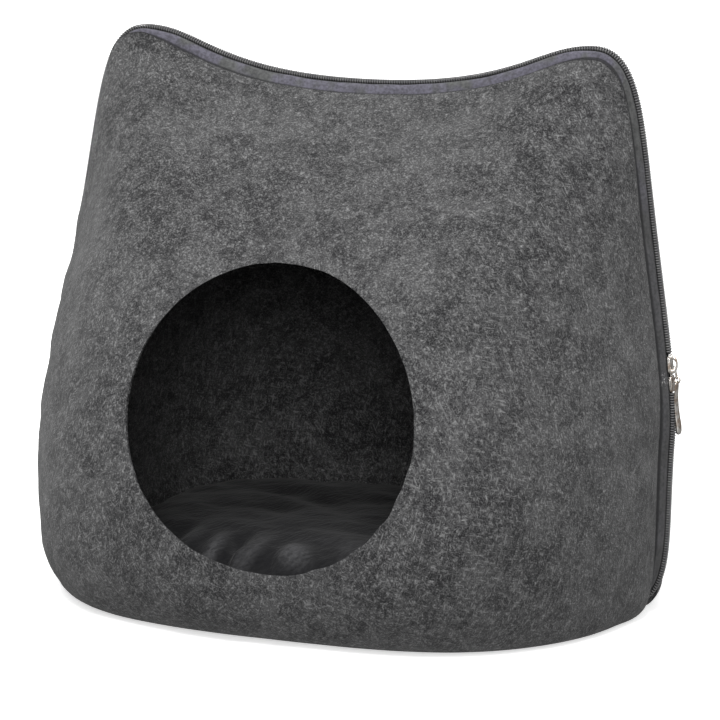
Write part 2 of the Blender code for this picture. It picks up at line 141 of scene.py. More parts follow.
class Graph:
    """The node tree of a material or of the world."""

    def __init__(self, owner: Union[bpy.types.Material, bpy.types.World]) -> None:
        """Clear the owner's tree.

        Args:
            owner: The material or the world.
        """
        owner.use_nodes = True
        self.owner = owner
        self.tree = owner.node_tree
        self.tree.nodes.clear()

    @classmethod
    def of(cls, name: str) -> "Graph":
        """Start a new material."""
        return cls(bpy.data.materials.new(name + "_look"))

    def add(
        self,
        kind: str,
        settings: Optional[dict[str, Any]] = None,
        inputs: Optional[dict[Union[str, int], Any]] = None,
    ) -> bpy.types.Node:
        """Add any node.

        Args:
            kind: The node's type name.
            settings: Properties set first; "stops" gives a ramp's rows.
            inputs: Numbers, colours or values for the node's sockets.

        Returns:
            The node.
        """
        made = self.tree.nodes.new(kind)
        for name, value in (settings or {}).items():
            if name == "stops":
                self._set_stops(made.color_ramp, value)
            else:
                setattr(made, name, value)
        for key, value in (inputs or {}).items():
            if isinstance(value, Value):
                self.tree.links.new(value.socket, made.inputs[key])
            else:
                made.inputs[key].default_value = value
        return made

    def node(
        self,
        kind: str,
        settings: Optional[dict[str, Any]] = None,
        inputs: Optional[dict[Union[str, int], Any]] = None,
        output: Union[str, int] = 0,
    ) -> Value:
        """Add any node for one of its outputs.

        Args:
            kind: The node's type name.
            settings: Properties set first.
            inputs: Numbers, colours or values for the node's sockets.
            output: The socket that the result wraps.

        Returns:
            The chosen output.
        """
        return Value(self, self.add(kind, settings, inputs).outputs[output])

    @staticmethod
    def _set_stops(ramp: bpy.types.ColorRamp, stops: Sequence[tuple[float, Colour]]) -> None:
        """Give a colour ramp its rows of place and colour.

        Args:
            ramp: The ramp of a new node, which has two rows.
            stops: Place and colour of each row.
        """
        while len(ramp.elements) < len(stops):
            ramp.elements.new(0.5)
        for element, (place, colour) in zip(ramp.elements, stops):
            element.position = place
            element.color = (*colour, 1.0)

    def math(self, operation: str, *operands: Operand) -> Value:
        """Add one Math node."""
        return self.node("ShaderNodeMath", {"operation": operation}, dict(enumerate(operands)))

    def vector(self, operation: str, *operands: Any) -> Value:
        """Add one Vector Math node."""
        sides = dict(enumerate(operands))
        return self.node("ShaderNodeVectorMath", {"operation": operation}, sides)

    def mix(self, low: Any, high: Any, factor: Operand) -> Value:
        """Blend two colours.

        Args:
            low: Colour or value at factor 0.
            high: Colour or value at factor 1.
            factor: How much of the second one shows.

        Returns:
            The blended colour.
        """
        sides = [(*side, 1.0) if isinstance(side, tuple) else side for side in (low, high)]
        return self.node(
            "ShaderNodeMix",
            {"data_type": "RGBA"},
            {0: factor, 6: sides[0], 7: sides[1]},
            output=2,
        )

    def place(self) -> Value:
        """Position on the object, in metres."""
        return self.node("ShaderNodeTexCoord", output="Object")

    def laid(self, place: Value, turn: Triple, size: Pair) -> Value:
        """Turn and stretch places, so that noise of size 1 on them is streaks.

        Args:
            place: Places on the object.
            turn: Turns round the three axes, in degrees.
            size: Length and width of a streak, in metres.

        Returns:
            The places, measured in streaks.
        """
        length, width = size
        return self.node(
            "ShaderNodeMapping",
            {"vector_type": "TEXTURE"},
            {
                "Vector": place,
                "Rotation": tuple(math.radians(angle) for angle in turn),
                "Scale": (length, width, width),
            },
        )

    def attribute(self, name: str, output: str = "Vector") -> Value:
        """A vector or, from the output Fac, a number that the points carry."""
        return self.node("ShaderNodeAttribute", {"attribute_name": name}, output=output)

    def parts(self, vector: Value) -> tuple[Value, Value, Value]:
        """The three numbers of a vector."""
        split = self.add("ShaderNodeSeparateXYZ", inputs={0: vector})
        return tuple(Value(self, socket) for socket in split.outputs)

    def noise(self, place: Value, size: float, detail: float = 2.0) -> Value:
        """Cloudy noise whose features are about one size, in metres."""
        inputs = {"Vector": place, "Scale": 1.0 / size, "Detail": detail}
        return self.node("ShaderNodeTexNoise", inputs=inputs)

    def bump(self, height: Value, distance: float) -> Value:
        """Normals of a low relief, which rises by a distance in metres."""
        inputs = {"Height": height, "Distance": distance}
        return self.node("ShaderNodeBump", inputs=inputs, output="Normal")

    def finish(self, **inputs: Any) -> bpy.types.Material:
        """Close the material with its Principled shader.

        Args:
            **inputs: Socket names with underscores for spaces.

        Returns:
            The finished material.
        """
        sockets = {}
        for name, value in inputs.items():
            is_colour = isinstance(value, tuple)
            sockets[name.replace("_", " ")] = (*value, 1.0) if is_colour else value
        shader = self.node("ShaderNodeBsdfPrincipled", inputs=sockets, output="BSDF")
        self.add("ShaderNodeOutputMaterial", inputs={"Surface": shader})
        return self.owner


# ------------------------------------------------------------------ finishes

@dataclass(frozen=True)
class Cloud:
    """Clouds of noise: their size, their detail and the band they fade over."""

    size: float
    detail: float
    band: Pair

    def on(self, graph: Graph, place: Value) -> Value:
        """How strong the clouds are at each place, from 0 to 1."""
        return graph.noise(place, self.size, self.detail).between(*self.band)


@dataclass(frozen=True)
class MelangeFelt:
    """Dark felt mixed from light and dark fibres that lie in all directions."""

    name: str = "grey_felt"
    body: Colour = (0.065, 0.065, 0.066)
    strand: Colour = (0.228, 0.228, 0.229)
    shade: Colour = (0.008, 0.008, 0.009)
    # cut: painted shade for the felt's edge along the zip.
    cut: Colour = (0.012, 0.012, 0.013)
    # Length and width of a fibre, and the noise that one set of them is.
    fibre: Pair = (0.0048, 0.0009)
    fibres: Cloud = Cloud(1.0, 0.0, (0.58, 0.86))
    # Turns of the directions that fibres lie in, in degrees.
    light_turns: tuple[Triple, ...] = ((8, 12, 35), (-20, 58, -15), (15, 102, 20), (5, 151, -40))
    dark_turns: tuple[Triple, ...] = ((-10, 33, 20), (25, 80, -30), (0, 128, 10))
    blotch: Cloud = Cloud(0.0034, 2.0, (0.34, 0.66))
    cloud: Cloud = Cloud(0.014, 1.0, (0.36, 0.64))
    drift: Cloud = Cloud(0.050, 1.0, (0.36, 0.64))
    grain: Cloud = Cloud(0.0008, 1.0, (0.25, 0.75))
    speck: Cloud = Cloud(0.0021, 0.0, (0.66, 0.82))
    # From shade to body: a base, and shares of blotch, cloud, drift and grain.
    body_shares: tuple[float, ...] = (0.02, 0.42, 0.36, 0.24, 0.75)
    dark_share: float = 0.45
    # Light fibres: a base, and shares of blotch, grain, cloud and speck.
    strand_shares: tuple[float, ...] = (0.08, 0.30, 0.24, 0.14, 0.30)
    # Beside light fibres of height 1: dark fibres' depth, blotch and grain.
    relief_shares: Triple = (0.6, 0.6, 0.4)
    relief: float = 0.00022
    # Painted shade: the dark line along the edge that is sewn to the zip, where the felt meets
    # the tape.
    edge_shade_line: Pair = (0.0, 0.0011)

    def _fibres(self, graph: Graph, place: Value, turns: Sequence[Triple]) -> Value:
        """Short straight fibres in some directions.

        Args:
            graph: The material's tree.
            place: Places on the object.
            turns: The turn of each direction, in degrees.

        Returns:
            How much a fibre shows at each place, from 0 to 1.
        """
        found: Optional[Value] = None
        for turn in turns:
            one = self.fibres.on(graph, graph.laid(place, turn, self.fibre))
            found = graph.math("MAXIMUM", found, one) if found else one
        return found

    def material(self) -> bpy.types.Material:
        """Make the material.

        Returns:
            The finished material.
        """
        graph = Graph.of(self.name)
        place = graph.place()
        light = self._fibres(graph, place, self.light_turns)
        dark = self._fibres(graph, place, self.dark_turns)
        clouds = (self.blotch, self.cloud, self.drift, self.grain, self.speck)
        blotch, cloud, drift, grain, speck = (kind.on(graph, place) for kind in clouds)

        base, by_blotch, by_cloud, by_drift, by_grain = self.body_shares
        level = base + by_blotch * blotch + by_cloud * cloud + by_drift * drift
        tone = graph.mix(self.shade, self.body, (level + (grain - 0.5) * by_grain).clamped())
        tone = graph.mix(tone, self.shade, dark * self.dark_share)
        base, by_blotch, by_grain, by_cloud, by_speck = self.strand_shares
        shown = base + by_blotch * blotch + by_grain * grain + by_cloud * cloud
        tone = graph.mix(tone, self.strand, (light * shown + speck * by_speck).clamped())
        # Painted shade: the felt darkens at its edge along the zip.
        inside = graph.attribute("from_zip", "Fac").between(*self.edge_shade_line)
        tone = graph.mix(self.cut, tone, inside)

        by_dark, by_blotch, by_grain = self.relief_shares
        height = light - dark * by_dark + blotch * by_blotch + grain * by_grain
        return graph.finish(
            Base_Color=tone,
            Roughness=0.95,
            Specular_IOR_Level=0.2,
            Sheen_Weight=0.12,
            Sheen_Roughness=0.6,
            Normal=graph.bump(height, self.relief),
        )


@dataclass(frozen=True)
class WovenTape:
    """Smooth tape with a fine weave; painted shade darkens it beside the coil and where it goes
    under the felt, and painted light makes it paler along the top.
    """

    name: str = "zip_tape"
    yarn: Colour = (0.136, 0.130, 0.166)
    # Painted light: the tape's tone is paler along the top of the cave than lower down.
    painted_top_light: Colour = (0.105, 0.107, 0.106)
    low: Colour = (0.078, 0.078, 0.079)
    thread: Colour = (0.42, 0.42, 0.42)
    # crease: dark of the weave's gaps, fuzz and wear, and also the painted shade beside the felt
    # and the coil.
    crease: Colour = (0.010, 0.010, 0.011)
    wale: float = 0.0006
    pick: float = 0.0005
    patch: Cloud = Cloud(0.016, 1.0, (0.42, 0.58))
    fuzz: Cloud = Cloud(0.0016, 2.0, (0.3, 0.7))
    wear: Cloud = Cloud(0.0060, 2.0, (0.3, 0.7))
    stitches: Cloud = Cloud(0.0010, 1.0, (0.54, 0.70))
    # Yarn's own colour in a patch: everywhere, and more on the ridge.
    yarn_shares: Pair = (0.10, 0.90)
    # Darkness of the weave's gaps, of fuzz and of wear.
    dark_shares: Triple = (0.26, 0.38, 0.16)
    thread_share: float = 0.8
    # Painted shade: dark lines beside the felt and the coil, as lengths across the tape.
    felt_line: Pair = (0.0094, 0.0106)
    felt_share: float = 0.82
    coil_line: Pair = (0.0040, 0.0028)
    relief: float = 0.00008

    def material(self) -> bpy.types.Material:
        """Make the material.

        Returns:
            The finished material.
        """
        graph = Graph.of(self.name)
        across, along, high = graph.parts(graph.attribute("weave"))
        wales = graph.math("SINE", across * (2 * math.pi / self.wale))
        picks = graph.math("SINE", along * (2 * math.pi / self.pick))
        weave = (wales * picks * 0.5 + 0.5).clamped()
        place = graph.place()
        clouds = (self.patch, self.fuzz, self.wear, self.stitches)
        patch, fuzz, wear, stitches = (kind.on(graph, place) for kind in clouds)

        everywhere, on_ridge = self.yarn_shares
        tint = (patch * (everywhere + on_ridge * high)).clamped()
        # Painted light: paler along the top of the cave.
        tone = graph.mix(graph.mix(self.low, self.painted_top_light, high), self.yarn, tint)
        by_gap, by_fuzz, by_wear = self.dark_shares
        dark = (1.0 - weave) * by_gap + fuzz * by_fuzz + wear * by_wear
        tone = graph.mix(tone, self.crease, dark)
        tack = stitches * graph.attribute("tack", "Fac")
        tone = graph.mix(tone, self.thread, tack * self.thread_share)
        # Painted shade: dark bands in the crevices beside the felt's edge and the coil, and under
        # the felt.
        beside_felt = across.between(*self.felt_line) * self.felt_share
        under = graph.math("MAXIMUM", beside_felt, across.between(*self.coil_line))
        return graph.finish(
            Base_Color=graph.mix(tone, self.crease, under),
            Roughness=0.75,
            Specular_IOR_Level=0.3,
            Sheen_Weight=0.1,
            Normal=graph.bump(weave, self.relief),
        )


@dataclass(frozen=True)
class CoilNylon:
    """Satin nylon of the zip's coil, on a cord painted near black as the shade between its turns.
    """

    name: str = "zip_coil"
    nylon: Colour = (0.130, 0.128, 0.132)
    worn: Colour = (0.190, 0.188, 0.186)
    cord: Colour = (0.012, 0.012, 0.013)
    patch_size: float = 0.006
    worn_band: Pair = (0.4, 0.7)
    # Roughness: a base, and what a patch adds.
    roughness: Pair = (0.40, 0.14)

    def material(self) -> bpy.types.Material:
        """Make the material.

        Returns:
            The finished material.
        """
        graph = Graph.of(self.name)
        patch = graph.noise(graph.place(), self.patch_size)
        tone = graph.mix(self.nylon, self.worn, patch.between(*self.worn_band))
        base, by_patch = self.roughness
        return graph.finish(
            # Painted shade: the cord between the turns is near black.
            Base_Color=graph.mix(self.cord, tone, graph.attribute("depth", "Fac")),
            Roughness=base + by_patch * patch,
            Specular_IOR_Level=0.4,
        )


@dataclass(frozen=True)
class PolishedNickel:
    """Nickel plate with faint rubbing marks."""

    name: str = "nickel"
    plate: Colour = (0.74, 0.71, 0.67)
    tarnish: Colour = (0.42, 0.34, 0.28)
    patch_size: float = 0.004
    patch_detail: float = 3.0
    tarnish_band: Pair = (0.42, 0.62)
    rub_size: float = 0.0004
    rub_stretch: Triple = (1.0, 1.0, 0.12)
    # Roughness: a base, and what patches and rubbing add.
    roughness: Triple = (0.10, 0.10, 0.06)
    relief: float = 0.00002

    def material(self) -> bpy.types.Material:
        """Make the material.

        Returns:
            The finished material.
        """
        graph = Graph.of(self.name)
        place = graph.place()
        patch = graph.noise(place, self.patch_size, self.patch_detail)
        rub = graph.noise(graph.vector("MULTIPLY", place, self.rub_stretch), self.rub_size)
        base, by_patch, by_rub = self.roughness
        return graph.finish(
            Base_Color=graph.mix(self.plate, self.tarnish, patch.between(*self.tarnish_band)),
            Metallic=1.0,
            Roughness=base + by_patch * patch + by_rub * rub,
            Normal=graph.bump(rub, self.relief),
        )


@dataclass(frozen=True)
class ShortPlush:
    """Dark pile in soft streaks, with painted light: paler on its crests towards the front, where
    light comes in.
    """

    name: str = "dark_plush"
    pile: Colour = (0.014, 0.014, 0.015)
    root: Colour = (0.005, 0.005, 0.006)
    painted_lit_tip: Colour = (0.066, 0.066, 0.069)
    streak: Pair = (0.0090, 0.0024)
    streak_turn: Triple = (0, 0, 62)
    streaks: Cloud = Cloud(1.0, 2.0, (0.3, 0.7))
    nap: Cloud = Cloud(0.025, 2.0, (0.3, 0.7))
    fuzz: Cloud = Cloud(0.0016, 2.0, (0.3, 0.7))
    # From root to pile: a base, and shares of streaks and nap.
    pile_shares: Triple = (0.25, 0.45, 0.35)
    # Painted light on the tips of the raised lumps: a base, and shares of streaks, fuzz and nap.
    tip_shares: tuple[float, ...] = (0.20, 0.40, 0.30, 0.15)
    fuzz_height: float = 0.5
    relief: float = 0.00020

    def material(self) -> bpy.types.Material:
        """Make the material.

        Returns:
            The finished material.
        """
        graph = Graph.of(self.name)
        place = graph.place()
        streaks = self.streaks.on(graph, graph.laid(place, self.streak_turn, self.streak))
        nap, fuzz = self.nap.on(graph, place), self.fuzz.on(graph, place)
        base, by_streaks, by_nap = self.pile_shares
        level = (base + by_streaks * streaks + by_nap * nap).clamped()
        tone = graph.mix(self.root, self.pile, level)
        base, by_streaks, by_fuzz, by_nap = self.tip_shares
        shown = base + by_streaks * streaks + by_fuzz * fuzz + by_nap * nap
        # Painted light: paler tips on the raised lumps towards the front.
        tips = (graph.attribute("lit_crest", "Fac") * shown).clamped()
        return graph.finish(
            Base_Color=graph.mix(tone, self.painted_lit_tip, tips),
            Roughness=1.0,
            Specular_IOR_Level=0.15,
            Sheen_Weight=0.08,
            Sheen_Roughness=0.5,
            Normal=graph.bump(streaks + fuzz * self.fuzz_height, self.relief),
        )


@dataclass(frozen=True)
class PaleFloor:
    """Matt white floor, faintly cloudy."""

    name: str = "pale_floor"
    paint: Colour = (0.93, 0.93, 0.93)
    patch: Colour = (0.91, 0.91, 0.91)
    patch_size: float = 0.6
    glow: float = 0.50

    def material(self) -> bpy.types.Material:
        """Make the material.

        Returns:
            The finished material.
        """
        graph = Graph.of(self.name)
        cloud = graph.noise(graph.place(), self.patch_size)
        return graph.finish(
            Base_Color=graph.mix(self.paint, self.patch, cloud),
            Roughness=0.9,
            Emission_Color=(1.0, 1.0, 1.0),
            Emission_Strength=self.glow,
        )


class Finish(Enum):
    """The record's material slots, each with the finish that dresses it."""

    FELT = MelangeFelt()
    TAPE = WovenTape()
    COIL = CoilNylon()
    METAL = PolishedNickel()
    PLUSH = ShortPlush()

    @cached_property
    def material(self) -> bpy.types.Material:
        """The finish's material, made once."""
        return self.value.material()

    def dress(self, piece: bpy.types.Object) -> None:
        """Give a piece this finish.

        Args:
            piece: The piece.
        """
        piece.data.materials.clear()
        piece.data.materials.append(self.material)


# ------------------------------------------------------------ mesh and lines

def blend(low: Any, high: Any, share: Any) -> Any:
    """Value between two values."""
    return low + (high - low) * share


def smooth(share: Points) -> Points:
    """Ease a share from 0 to 1 in and out."""
    held = np.clip(share, 0.0, 1.0)
    return held * held * (3 - 2 * held)


def unit(vectors: Points) -> Points:
    """Vectors of length 1."""
    return vectors / np.maximum(np.linalg.norm(vectors, axis=-1, keepdims=True), 1e-12)


def evened(rows: Points, passes: int) -> Points:
    """Even out rows by their neighbours, in place, with both ends held.

    Args:
        rows: Numbers or places, one row each.
        passes: How many times each row takes a share of the two beside it.

    Returns:
        The same rows.
    """
    for _ in range(passes):
        rows[1:-1] = (rows[:-2] + 2 * rows[1:-1] + rows[2:]) / 4
    return rows


def cubic(controls: Sequence[Pair], steps: int) -> Points:
    """Points of a cubic curve.

    Args:
        controls: Its four control points.
        steps: How many steps it is cut into.

    Returns:
        One point more than the steps.
    """
    t = np.linspace(0.0, 1.0, steps + 1)[:, None]
    a, b, c, d = (np.array(control, float) for control in controls)
    return (1 - t) ** 3 * a + 3 * t * (1 - t) ** 2 * b + 3 * t * t * (1 - t) * c + t ** 3 * d


def aside_of(line: Points) -> Points:
    """Directions in (x, z) at right angles to a line, towards the body."""
    run = unit(np.gradient(line, axis=0))
    return np.stack([run[:, 1], -run[:, 0]], axis=1)


def lengths_of(line: Points) -> Points:
    """Length along a line at each of its points."""
    steps = np.linalg.norm(np.diff(line, axis=0), axis=1)
    return np.concatenate([[0.0], np.cumsum(steps)])


def at_lengths(line: Points, goals: Points) -> Points:
    """Points of a line at given lengths along it."""
    lengths = lengths_of(line)
    return np.stack([np.interp(goals, lengths, column) for column in line.T], axis=1)


def resample(line: Points, shares: Points) -> Points:
    """Points at shares of a line's length."""
    return at_lengths(line, shares * lengths_of(line)[-1])


def from_table(rows: Sequence[Pair], places: Points) -> Points:
    """Values at some places, read between the rows of a table."""
    return np.interp(places, *np.array(rows).T)


def crowded(steps: int, swell: float, turns: int) -> Points:
    """Shares from 0 to 1 that crowd together.

    Args:
        steps: How many steps there are from 0 to 1.
        swell: How strongly the shares are moved.
        turns: 1 crowds them at the end, 2 at both ends.

    Returns:
        The shares.
    """
    share = np.arange(steps + 1) / steps
    return share + swell * np.sin(turns * math.pi * share) * (1 if turns == 1 else -1)


def grid_faces(rows: int, columns: int, first: int = 0) -> Points:
    """Faces between rows of points.

    Args:
        rows: How many rows of points there are.
        columns: How many points a row has.
        first: The number of the first point.

    Returns:
        The corner numbers of each face.
    """
    r, c = np.meshgrid(np.arange(rows - 1), np.arange(columns - 1), indexing="ij")
    corner = (first + r * columns + c).ravel()
    return np.stack([corner, corner + columns, corner + columns + 1, corner + 1], axis=1)


def tube_faces(rings: int, sides: int) -> Points:
    """Faces between closed rings of points that follow each other.

    Args:
        rings: How many rings there are.
        sides: How many points a ring has.

    Returns:
        The corner numbers of each face.
    """
    r, s = np.meshgrid(np.arange(rings - 1), np.arange(sides), indexing="ij")
    a, b = (r * sides + s).ravel(), (r * sides + (s + 1) % sides).ravel()
    return np.stack([a, b, b + sides, a + sides], axis=1)


def edges_of(faces: Points) -> Points:
    """The four directed edges of each face, first edges first."""
    return np.concatenate([faces[:, [k, (k + 1) % 4]] for k in range(4)])


def nearest(points: Points, others: Points) -> tuple[Points, Points]:
    """Find the nearest of some other points to each point.

    Args:
        points: Places to start from.
        others: Places to look among.

    Returns:
        The number of the nearest other point, and its distance.
    """
    tree = KDTree(len(others))
    for index, other in enumerate(others):
        tree.insert(other, index)
    tree.balance()
    found = [tree.find(point) for point in points]
    return np.array([f[1] for f in found]), np.array([f[2] for f in found])


def linked(name: str, data: Any) -> bpy.types.Object:
    """Put data in the scene.

    Args:
        name: The object's name.
        data: A mesh, curve, lamp or camera.

    Returns:
        The object that holds it.
    """
    made = bpy.data.objects.new(name, data)
    bpy.context.scene.collection.objects.link(made)
    return made


def mesh_object(name: str, points: Points, faces: Any) -> bpy.types.Object:
    """Make an object, shaded smooth.

    Args:
        name: Name of the object and its mesh.
        points: Its places.
        faces: Corner numbers of its faces.

    Returns:
        The object, in the scene.
    """
    mesh = bpy.data.meshes.new(name)
    mesh.from_pydata([tuple(p) for p in points], [], [tuple(int(i) for i in f) for f in faces])
    mesh.update()
    mesh.shade_smooth()
    return linked(name, mesh)


def from_bmesh(name: str, bm: bmesh.types.BMesh, place: Matrix = Matrix()) -> bpy.types.Object:
    """Make an object of a bmesh, shaded smooth.

    Args:
        name: Name of the object and its mesh.
        bm: The bmesh, which is freed.
        place: Where the mesh goes.

    Returns:
        The object, in the scene.
    """
    mesh = bpy.data.meshes.new(name)
    bm.to_mesh(mesh)
    bm.free()
    mesh.transform(place)
    mesh.shade_smooth()
    return linked(name, mesh)


def add_skin(bm: bmesh.types.BMesh, rings: Sequence[Sequence[bmesh.types.BMVert]]) -> None:
    """Join rings of points by faces, and close both ends.

    Args:
        bm: The mesh that has the points.
        rings: Rings with the same number of points.
    """
    for near, far in zip(rings, rings[1:]):
        for n in range(len(near)):
            bm.faces.new((near[n - 1], near[n], far[n], far[n - 1]))
    bm.faces.new(rings[0])
    bm.faces.new(rings[-1][::-1])


def rows_of(items: Any, key: str) -> Points:
    """Read a vector of each item of a mesh.

    Args:
        items: The mesh's collection.
        key: Name of the vector.

    Returns:
        A row of three numbers for each item.
    """
    found = np.zeros(len(items) * 3, np.float32)
    items.foreach_get(key, found)
    return found.reshape(-1, 3).astype(float)


def normals_of(mesh: bpy.types.Mesh) -> Points:
    """The normals at a mesh's points."""
    return rows_of(mesh.vertex_normals, "vector")


def points_of(mesh: bpy.types.Mesh) -> Points:
    """A mesh's points."""
    return rows_of(mesh.vertices, "co")


def set_points(mesh: bpy.types.Mesh, points: Points) -> None:
    """Move a mesh's points."""
    mesh.vertices.foreach_set("co", points.astype(np.float32).ravel())
    mesh.update()


def carry(piece: bpy.types.Object, name: str, values: Points) -> None:
    """Let a piece's points carry numbers or vectors for its finish.

    Args:
        piece: The piece.
        name: Name that the finish reads.
        values: A number for each point, or a row of three.
    """
    kind, key = ("FLOAT", "value") if values.ndim == 1 else ("FLOAT_VECTOR", "vector")
    store = piece.data.attributes.new(name, kind, "POINT")
    store.data.foreach_set(key, values.astype(np.float32).ravel())


def round_edges(piece: bpy.types.Object, width: float, segments: int, angle: float) -> None:
    """Round a piece's sharp edges with a modifier.

    Args:
        piece: The piece.
        width: Width of the rounding.
        segments: Faces across it.
        angle: The angle past which an edge is sharp, in degrees.
    """
    bevel = piece.modifiers.new("round", "BEVEL")
    bevel.width = width
    bevel.segments = segments
    bevel.limit_method = "ANGLE"
    bevel.angle_limit = math.radians(angle)
    bevel.harden_normals = False


def evaluated(piece: bpy.types.Object) -> bpy.types.Mesh:
    """Make a mesh of what a piece's curve or modifiers give.

    Args:
        piece: The piece, which stays as it is.

    Returns:
        The new mesh, shaded smooth.
    """
    graph = bpy.context.evaluated_depsgraph_get()
    graph.update()
    made = bpy.data.meshes.new_from_object(piece.evaluated_get(graph))
    made.shade_smooth()
    return made


def apply_modifiers(piece: bpy.types.Object) -> None:
    """Replace a piece's mesh by what its modifiers make of it.

    Args:
        piece: The piece, which has no modifiers afterwards.
    """
    made = evaluated(piece)
    piece.modifiers.clear()
    piece.data = made


@dataclass(frozen=True)
class Unevenness:
    """Smooth unevenness in space: a sum of waves drawn from a seed."""

    seed: int
    shortest: float
    longest: float
    height: float
    waves: int = 28

    def at(self, points: Points) -> Points:
        """Draw the waves and add them up.

        Args:
            points: Places in space.

        Returns:
            Up to about 1.5 times the height, up or down, at each place.
        """
        chance = np.random.default_rng(self.seed)
        directions = unit(chance.normal(size=(self.waves, 3)))
        wave_lengths = chance.uniform(self.shortest, self.longest, self.waves)
        waves = directions * (2 * math.pi / wave_lengths)[:, None]
        phases = chance.uniform(0.0, 2 * math.pi, self.waves)
        total = np.sin(points @ waves.T + phases).sum(axis=1)
        return self.height * (total * math.sqrt(2 / self.waves))


# ------------------------------------------------------------ the felt's form

@dataclass(frozen=True)
class CaveOutline:
    """The zip's line in the plane Y = 0 and the belly of the felt it closes."""

    half_width: float = 0.1898
    ridge_height: float = 0.298
    ear_height: float = 0.3235
    ear_offset: float = 0.136
    belly_height: float = 0.105
    tuck_height: float = 0.0042
    tuck_width: float = 0.160
    # What draws the curves between those places, as (x, z) or x alone.
    ridge_pull: float = 0.092
    ear_pulls: Pair = (0.103, 0.160)
    ear_side: Pair = (0.1636, 0.290)
    shoulder: Pair = (0.1714, 0.241)
    below_shoulder: Pair = (0.1816, 0.176)
    above_belly: float = 0.140
    above_foot: Pair = (0.1875, 0.040)
    seam_foot: float = 0.1970
    edge_above_foot: float = 0.044
    edge_foot: float = 0.190
    edge_inset: float = 0.006
    edge_depth: float = 0.012
    foot_width: float = 0.173
    belly_depth: float = 0.165
    lean_power: float = 2.4
    # The belly's section at the foot and at the ridge.
    squareness: Pair = (3.0, 3.5)
    rounding: Pair = (0.54, 0.81)
    undercut: float = 0.039
    undercut_height: float = 0.090
    reach_at_ridge: float = 0.0006
    # How far the edge is drawn out at each side: heights and amounts.
    reach_right: tuple[Pair, ...] = (
        (0.000, 0.0002), (0.100, 0.0014), (0.130, 0.0024), (0.230, 0.0024), (0.280, 0.0034),
        (0.308, 0.0034), (0.322, 0.0016),
    )
    reach_left: tuple[Pair, ...] = (
        (0.005, -0.0010), (0.035, -0.0008), (0.060, 0.0026), (0.095, 0.0038),
        (0.135, 0.0027), (0.178, 0.0036), (0.210, 0.0031), (0.235, 0.0020), (0.262, 0.0028),
        (0.300, 0.0038), (0.316, 0.0050),
    )
    reach_fade: float = 0.028
    # How far the belly's low corners are drawn in at each side, likewise.
    drawn_in_right: tuple[Pair, ...] = (
        (0.000, 0.0026), (0.025, 0.0022), (0.045, 0.0010), (0.065, 0.0000),
    )
    drawn_in_left: tuple[Pair, ...] = (
        (0.000, 0.0056), (0.010, 0.0052), (0.028, 0.0004), (0.044, -0.0002), (0.060, -0.0014),
        (0.078, -0.0022), (0.105, -0.0014), (0.128, 0.0010), (0.145, 0.0000), (0.180, -0.0006),
        (0.230, 0.0010), (0.260, 0.0000),
    )
    drawn_in_fade: float = 0.030
    # Where those amounts begin, and the length that they grow over.
    reach_aside: Pair = (0.110, 0.035)
    drawn_in_aside: Pair = (0.090, 0.060)
    drawn_in_front: Pair = (0.012, 0.030)
    off_floor: float = 0.012
    steps: int = 240

    @property
    def _upper_curves(self) -> tuple[tuple[Pair, ...], ...]:
        """Put the upper curves' control points together.

        Returns:
            Three curves, from the ridge's middle to the widest place.
        """
        ear, belly = (self.ear_offset, self.ear_height), (self.half_width, self.belly_height)
        (ridge_side, side), height = self.ear_pulls, self.ridge_height
        return (
            ((0.0, height), (self.ridge_pull, height), (ridge_side, self.ear_height), ear),
            (ear, (side, self.ear_height), self.ear_side, self.shoulder),
            (self.shoulder, self.below_shoulder, (self.half_width, self.above_belly), belly),
        )

    def _chain(self, curves: Sequence[Sequence[Pair]]) -> Points:
        """One line through several curves that follow each other."""
        lines = [cubic(curve, self.steps) for curve in curves]
        return np.concatenate([lines[0]] + [line[1:] for line in lines[1:]])

    @cached_property
    def seam(self) -> Points:
        """The zip's line.

        Returns:
            Places (x, z), from the ridge's middle to its tucked end.
        """
        low = (
            (self.half_width, self.belly_height), self.above_foot,
            (self.seam_foot, self.tuck_height), (self.tuck_width, self.tuck_height),
        )
        return self._chain((*self._upper_curves, low))

    @cached_property
    def felt_edge(self) -> Points:
        """The felt's edge, which runs beside the zip.

        Returns:
            Places (x, z), from the ridge's middle to the foot.
        """
        side = self.half_width - self.edge_inset
        upper = self._chain(self._upper_curves)
        upper = upper + aside_of(upper) * self.edge_inset
        foot = (
            (side, self.belly_height), (side, self.edge_above_foot),
            (self.edge_foot, 0.0), (self.foot_width, 0.0),
        )
        return np.concatenate([upper, cubic(foot, self.steps)[1:]])

    @property
    def ear_bend(self) -> int:
        """Where the felt's edge turns from the ridge to the side."""
        return self.steps + self.steps // 2

    def drawn_out(self, points: Points, gap: Points) -> Points:
        """Draw places near the felt's edge out towards the seam.

        Args:
            points: Places on the felt or the tapes.
            gap: How far each one is from the felt's edge.

        Returns:
            The places, moved in the plane of x and z.
        """
        x, _, z = points.T
        flat, line = np.zeros(len(points)), self.felt_edge
        edge = np.column_stack([line[:, 0], np.zeros(len(line)), line[:, 1]])
        near, _ = nearest(np.column_stack([np.abs(x), flat, z]), edge)
        side, inward = np.where(x < 0, -1.0, 1.0), aside_of(line)[near]
        out = np.column_stack([-inward[:, 0] * side, flat, -inward[:, 1]])
        at_side = np.where(
            x < 0, from_table(self.reach_left, z), from_table(self.reach_right, z),
        )
        begin, over = self.reach_aside
        amount = blend(self.reach_at_ridge, at_side, smooth((np.abs(x) - begin) / over))
        amount *= (1 - smooth(gap / self.reach_fade)) * smooth(z / self.off_floor)
        return points + out * amount[:, None]

